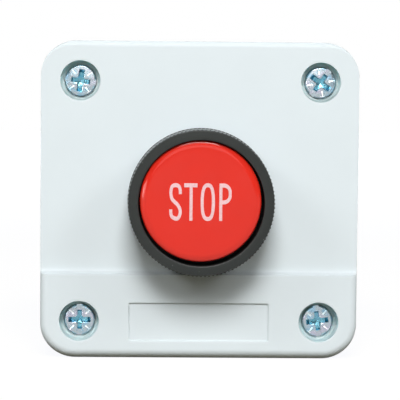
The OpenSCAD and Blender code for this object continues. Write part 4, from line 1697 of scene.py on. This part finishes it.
@dataclass
class Lettering:
    """The word on the button, drawn as strokes that are thicker where they run across.

    Args:
        top: Height of the letters' top up the face, in millimetres.
        height: Height of the letters.
        upright: Width of an upright stroke.
        level: Width of a level stroke.
        s_sides: Left and right side of the S.
        t_sides: Left and right side of the T's bar.
        t_stem: Left and right side of its stem.
        o_sides: Left and right side of the O.
        o_power: How square the O is, where 2 is an ellipse.
        o_over: How far the O reaches past the other letters.
        o_steps: Parts of its outline.
        p_sides: Left and right side of the P.
        p_bowl: Height of its bowl.
        p_round: Radius of the bowl's rounds, in the stroke's middle.
        stem_sunk: How far a stem lies under the stroke that it meets.
    """

    top: float = 4.19
    height: float = 7.81
    upright: float = 0.63
    level: float = 0.84
    s_sides: Span = (-6.5, -3.92)
    t_sides: Span = (-3.43, -0.67)
    t_stem: Span = (-2.33, -1.64)
    o_sides: Span = (0.02, 2.98)
    o_power: float = 2.6
    o_over: float = 0.03
    o_steps: int = 48
    p_sides: Span = (3.9, 6.44)
    p_bowl: float = 4.36
    p_round: float = 1.35
    stem_sunk: float = 0.002

    def spline(self, points: Profile, steps: int = 6) -> Profile:
        """Returns a smooth line through points.

        Args:
            points: The points.
            steps: Parts between two of them.

        Returns:
            Points of the line.
        """
        last = len(points) - 1
        made: Profile = []
        for i in range(last):
            near = [points[min(max(i + k, 0), last)] for k in (-1, 0, 1, 2)]
            for s in range(steps):
                t = s / steps
                ends = (-t + 2 * t**2 - t**3, t**3 - t**2)
                weights = (ends[0], 2 - 5 * t**2 + 3 * t**3, t + 4 * t**2 - 3 * t**3, ends[1])
                made.append(tuple(sum(w * p[k] for w, p in zip(weights, near)) / 2 for k in (0, 1)))
        return [*made, points[-1]]

    def stroke(self, solid: Solid, line: Profile, low: float, high: float, closed: bool = False) -> None:
        """Draws one stroke as a flat ribbon with a thickness.

        Args:
            solid: The lettering.
            line: The stroke's middle line.
            low: Height of its underside.
            high: Height of its face.
            closed: Whether the line runs back to its start.
        """
        count = len(line)
        sides: tuple[Profile, Profile] = ([], [])
        for i, here in enumerate(line):
            before = line[i - 1] if i or closed else here
            after = line[(i + 1) % count] if i + 1 < count or closed else here
            way = Vector((after[0] - before[0], after[1] - before[1])).normalized()
            half = mix(self.upright, self.level, way.x**2) / 2
            for side, reach in zip(sides, (half, -half)):
                side.append((here[0] - way.y * reach, here[1] + way.x * reach))
        left_low, left_high, right_low, right_high = (
            solid.ring(at_height(side, z)) for side in sides for z in (low, high)
        )
        turn = [left_high, right_high, right_low, left_low]
        for a, b in zip(turn, [*turn[1:], turn[0]]):
            solid.strip(a, b, None if closed else lambda i: i == count - 1)
        if not closed:
            for i in (0, -1):
                solid.face((left_low[i], left_high[i], right_high[i], right_low[i]))

    def letter_s(self) -> Profile:
        """Draws the middle line of the S.

        Returns:
            Its points, from its upper end to its lower one.
        """
        top, bottom = self.top, self.top - self.height
        half, v = self.upright / 2, self.level / 2
        x0, x1 = self.s_sides[0] + half, self.s_sides[1] - half
        xm = (x0 + x1) / 2
        return self.spline([
            (x1, top - 2.28), (x1 - 0.02, top - 1.5), (xm + 0.68, top - 0.68), (xm, top - v),
            (xm - 0.72, top - 0.74), (x0, top - 1.75), (x0 + 0.08, top - 2.75), (xm - 0.58, top - 3.5),
            (xm + 0.42, top - 4.5), (x1 - 0.06, top - 5.45), (x1, top - 6.3), (x1 - 0.4, top - 7.28),
            (xm, bottom + v), (xm - 0.72, bottom + 0.82), (x0 + 0.02, top - 6.35), (x0, top - 5.48),
        ])

    def letter_o(self) -> Profile:
        """Draws the middle line of the O, an ellipse with squarish corners.

        Returns:
            Its points, anticlockwise from the right.
        """
        left, right = self.o_sides
        middle = ((left + right) / 2, (self.top + self.top - self.height) / 2)
        reach = ((right - left) / 2 - self.upright / 2, self.height / 2 - self.level / 2 + self.o_over)
        made: Profile = []
        for i in range(self.o_steps):
            a = 2 * math.pi * i / self.o_steps
            made.append(tuple(
                m + r * math.copysign(abs(way) ** (2 / self.o_power), way)
                for m, r, way in zip(middle, reach, (math.cos(a), math.sin(a)))
            ))
        return made

    def draw(self, low: float, high: float) -> bpy.types.Object:
        """Draws the word STOP as one piece.

        Args:
            low: Height of its underside.
            high: Height of its face.

        Returns:
            The object, in millimetres.
        """
        solid = Solid()
        top, bottom, sunk = self.top, self.top - self.height, high - self.stem_sunk
        bar = top - self.level / 2
        self.stroke(solid, self.letter_s(), low, high)
        stem = sum(self.t_stem) / 2
        self.stroke(solid, [(self.t_sides[0], bar), (self.t_sides[1], bar)], low, high)
        self.stroke(solid, [(stem, bar), (stem, bottom)], low, sunk)
        self.stroke(solid, self.letter_o(), low, high, closed=True)
        left, right = self.p_sides[0] + self.upright / 2, self.p_sides[1] - self.upright / 2
        r, bowl_low = self.p_round, top - self.p_bowl + self.level / 2
        upper = arc((right - r, bar - r), r, 90, 0, steps=8)
        lower = arc((right - r, bowl_low + r), r, 0, -90, steps=8)
        self.stroke(solid, [(left, bar), *upper, *lower, (left, bowl_low)], low, high)
        self.stroke(solid, [(left, top), (left, bottom)], low, sunk)
        return solid.object("lettering")


@dataclass
class Button:
    """The red cap with its word, which rides on the pusher."""

    finishes: Finishes
    cap: Extent = box_of("button_cap")
    # How much wider, further to the right and up, and further out than the solid the cap is
    grow: float = 0.03
    shift: Point = (0.03, 0.42)
    lift: float = 0.15
    skirt: float = 2.2
    skirt_wall: float = 0.7
    skirt_chamfer: float = 0.1
    side_support: float = 0.2
    face: float = 1.2
    face_support: float = 0.5
    boss_r: float = 2.35
    # The crown between the flat face and the round corner, with its turn in degrees
    crown_r: float = 4.2
    crown_turn: float = 18
    corner: float = 0.42
    cap_steps: int = 160
    ink: float = 0.03

    def build(self) -> None:
        """Builds the cap and its lettering."""
        top, rim, chamfer = self.cap.high.z + self.lift, self.cap.radius + self.grow, self.skirt_chamfer
        inner = rim - self.skirt_wall
        low, under, foot = top - self.skirt, top - self.face, self.cap.low.z
        turn, rest = math.radians(self.crown_turn), 90 - self.crown_turn
        crown_at = rim - self.corner * (1 - math.sin(turn)) - self.crown_r * math.sin(turn)
        corner_at = top - self.crown_r + (self.crown_r - self.corner) * math.cos(turn)
        profile = [
            (self.boss_r, foot), (self.boss_r, under), (inner, under), (inner, low), (rim - chamfer, low),
            (rim, low + chamfer), (rim, corner_at - self.side_support),
            *arc((rim - self.corner, corner_at), self.corner, 0, rest, steps=4)[:-1],
            *arc((crown_at, top - self.crown_r), self.crown_r, rest, 90, steps=8),
            (crown_at - self.face_support, top),
        ]
        cap = turned(lathe("cap", profile, self.cap_steps), Matrix.Translation((*self.shift, 0)))
        finished(cap, "red_cap", [self.finishes.cap], Body.BUTTON, ["button_cap"])
        word = Lettering().draw(top - self.ink, top + self.ink)
        finished(word, "stop_lettering", [self.finishes.ink], Body.BUTTON)


def towards(azimuth: float, elevation: float) -> Vector:
    """Returns a direction from the case, by degrees to the right of straight ahead and above level."""
    around, up = math.radians(azimuth), math.radians(elevation)
    return Vector((math.sin(around) * math.cos(up), -math.cos(around) * math.cos(up), math.sin(up)))


@dataclass(frozen=True)
class Softbox:
    """A rectangular lamp that points at the middle of the case's face.

    Args:
        name: Its name.
        azimuth: Its direction from straight ahead, in degrees to the right.
        elevation: Its height above the horizon, in degrees.
        distance: How far off it hangs, in metres.
        size: Its width and height, in metres.
        share: Its share of the light that the face takes.
        least_fall: The smallest cosine of its angle that its strength is worked out for.
    """

    name: str
    azimuth: float
    elevation: float
    distance: float
    size: Point
    share: float
    least_fall: float = 0.05

    def hang(self, aim: Vector) -> None:
        """Adds the lamp to the scene.

        Args:
            aim: The point that it lights.
        """
        way = towards(self.azimuth, self.elevation)
        data = bpy.data.lights.new(self.name, "AREA")
        data.shape, data.size, data.size_y = "RECTANGLE", *self.size
        # A face that takes light of pi watts on a square metre shows a colour as it is written
        data.energy = self.share * (math.pi * self.distance) ** 2 / max(self.least_fall, -way.y)
        made = added(self.name, data)
        made.location = aim + way * self.distance
        made.rotation_euler = way.to_track_quat("Z", "Y").to_euler()


@dataclass
class Studio:
    """The camera, the floor, the soft light and the white ground of the picture."""

    # The camera, as it stands in front of the case, in metres and degrees
    camera_at: Triple = (-0.00754, -0.40055, 0.02012)
    camera_pan: float = -1.255
    camera_tilt: float = 3.280
    camera_roll: float = 0.527
    camera_clip: Span = (0.01, 50.0)
    # Pixels that one radian takes in the middle of the picture, and the picture's width
    focal_px: float = 1630.226
    picture_px: float = 400
    sensor_mm: float = 36.0
    lamps: tuple[Softbox, ...] = (
        Softbox("key", 0.0, 44.5, 1.8, (0.8, 0.66), 0.69),
        Softbox("front", 0.0, 30.0, 1.8, (0.7, 0.3), 0.06),
        Softbox("fill", 0.0, 10.0, 1.8, (0.75, 0.45), 0.052),
        Softbox("left", -58.0, 36.0, 1.8, (0.5, 0.5), 0.094),
        Softbox("right", 58.0, 36.0, 1.8, (0.5, 0.5), 0.094),
    )
    # The room: its faint light, and how bright bright surfaces see it in front and behind the case, with
    # the soft change between the two as a share of the way
    room_light: float = 0.045
    room_seen: Span = (0.34, 1.0)
    room_change: Span = (-0.3, 0.3)
    # A window that only shines back from bright surfaces: its direction, half its width and its soft edge,
    # in degrees, and its light
    window_at: Point = (-27.0, -0.5)
    window_half: float = 6.0
    window_edge: float = 1.0
    window_glow: float = 11.0
    # The floor, in metres: its half width, its colour, and how it glows near the case and far from it
    floor_half: float = 3.0
    floor_colour: Colour = (0.08, 0.068, 0.034)
    floor_reach: Span = (0.25, 1.2)
    floor_glow: Span = (1.0, 1.12)
    # The light that the key throws on the floor, which its glow makes up to white
    floor_lit: float = 0.9
    floor_roughness: float = 0.9

    def camera(self) -> None:
        """Sets up the camera at the photograph's angle."""
        data = bpy.data.cameras.new("camera")
        data.sensor_width = self.sensor_mm
        data.lens = self.sensor_mm * self.focal_px / self.picture_px
        data.clip_start, data.clip_end = self.camera_clip
        made = added("camera", data)
        pan, tilt = turn_about("Z", self.camera_pan), turn_about("X", 90 - self.camera_tilt)
        roll = turn_about("Z", self.camera_roll)
        made.matrix_world = Matrix.Translation(self.camera_at) @ pan @ tilt @ roll
        bpy.context.scene.camera = made

    def world(self) -> None:
        """Sets up the room: white behind the case, dim in front of it, and faint as a light."""
        world = bpy.data.worlds.new("studio")
        world.use_nodes = True
        net = ShadeNet(world.node_tree)
        way = net.node("TexCoord").outputs["Generated"]
        back = net.node("SeparateXYZ", {0: way}).outputs["Y"]
        near = net.node("VectorMath", {0: way, 1: towards(*self.window_at)}, operation="DOT_PRODUCT")
        edge = tuple(math.cos(math.radians(self.window_half + wider)) for wider in (self.window_edge, 0))
        window = net.span(near.outputs["Value"], edge, (0.0, self.window_glow))
        room = net.combined("MAXIMUM", net.span(back, self.room_change, self.room_seen), window)
        light = net.between(net.seen_by("Is Glossy Ray", "Is Transmission Ray"), self.room_light, room)
        ground = world.node_tree.nodes["Background"]
        net.feed(ground.inputs["Strength"], net.combined("MAXIMUM", light, net.seen_by("Is Camera Ray")))
        ground.inputs["Color"].default_value = (1, 1, 1, 1)
        bpy.context.scene.world = world

    def floor(self) -> None:
        """Lays the floor, which looks white and throws little light back on the case."""
        h, z = self.floor_half, CAD_BOX[0].z
        mesh = bpy.data.meshes.new("floor")
        mesh.from_pydata(at_height(rectangle(-h, -h, h, h), z), [], [(0, 1, 2, 3)])
        g = Surface("pale_floor")
        shown = g.seen_by("Is Camera Ray", "Is Glossy Ray", "Is Transmission Ray")
        away = g.node("VectorMath", {0: g.place}, operation="LENGTH").outputs["Value"]
        mesh.materials.append(g.shade(
            Base_Color=self.floor_colour,
            Roughness=self.floor_roughness,
            Specular_IOR_Level=0.0,
            Emission_Color=tuple(1 - self.floor_lit * part for part in self.floor_colour),
            Emission_Strength=g.between(shown, 0.0, g.span(away, self.floor_reach, self.floor_glow)),
        ))
        added("floor", mesh)

    def build(self) -> None:
        """Sets up everything round the object."""
        self.camera()
        self.floor()
        self.world()
        face = Vector((0, (CAD_BOX[0].y + CAD_BOX[1].y) / 2, 0))
        for lamp in self.lamps:
            lamp.hang(face)
        bpy.context.scene.view_settings.view_transform = "Standard"
        log.info("studio ready, %d lamps", len(self.lamps))


def dress_nodes(finishes: Finishes) -> None:
    """Gives every CAD node that stays its finish.

    Args:
        finishes: The station's finishes.
    """
    plan = {
        finishes.rubber: ["lid_gasket", "head_gasket", "wiper_seal"],
        finishes.head: ["head_barrel", "fixing_nut"],
        finishes.natural: ["pusher"],
        finishes.spring: ["retaining_clip", "return_spring", "plunger_spring", "bridge_spring"],
        finishes.block: ["block_base"],
        finishes.housing: ["block_housing"],
        finishes.plunger: ["contact_plunger"],
        finishes.zinc: ["block_screws", "terminal_screws", "terminal_clamps"],
        finishes.brass: ["contact_bridge", "fixed_contact_upper", "fixed_contact_lower"],
        finishes.silver: ["bridge_tips", "fixed_tips"],
    }
    for finish, names in plan.items():
        for name in names:
            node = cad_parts[name]
            node.data.materials.clear()
            node.data.materials.append(finish)
            log.info("%s wears %s", name, finish.name)


def main() -> None:
    """Builds the station and its studio."""
    logging.basicConfig(level=logging.INFO, format="%(name)s: %(message)s")
    Studio().build()
    finishes = Finishes()
    enclosure = Enclosure(finishes)
    enclosure.build()
    LidScrews(finishes, enclosure.corners(), enclosure.seat).build()
    PushbuttonHead(finishes).build()
    Button(finishes).build()
    dress_nodes(finishes)


if __name__ == "__main__":
    main()
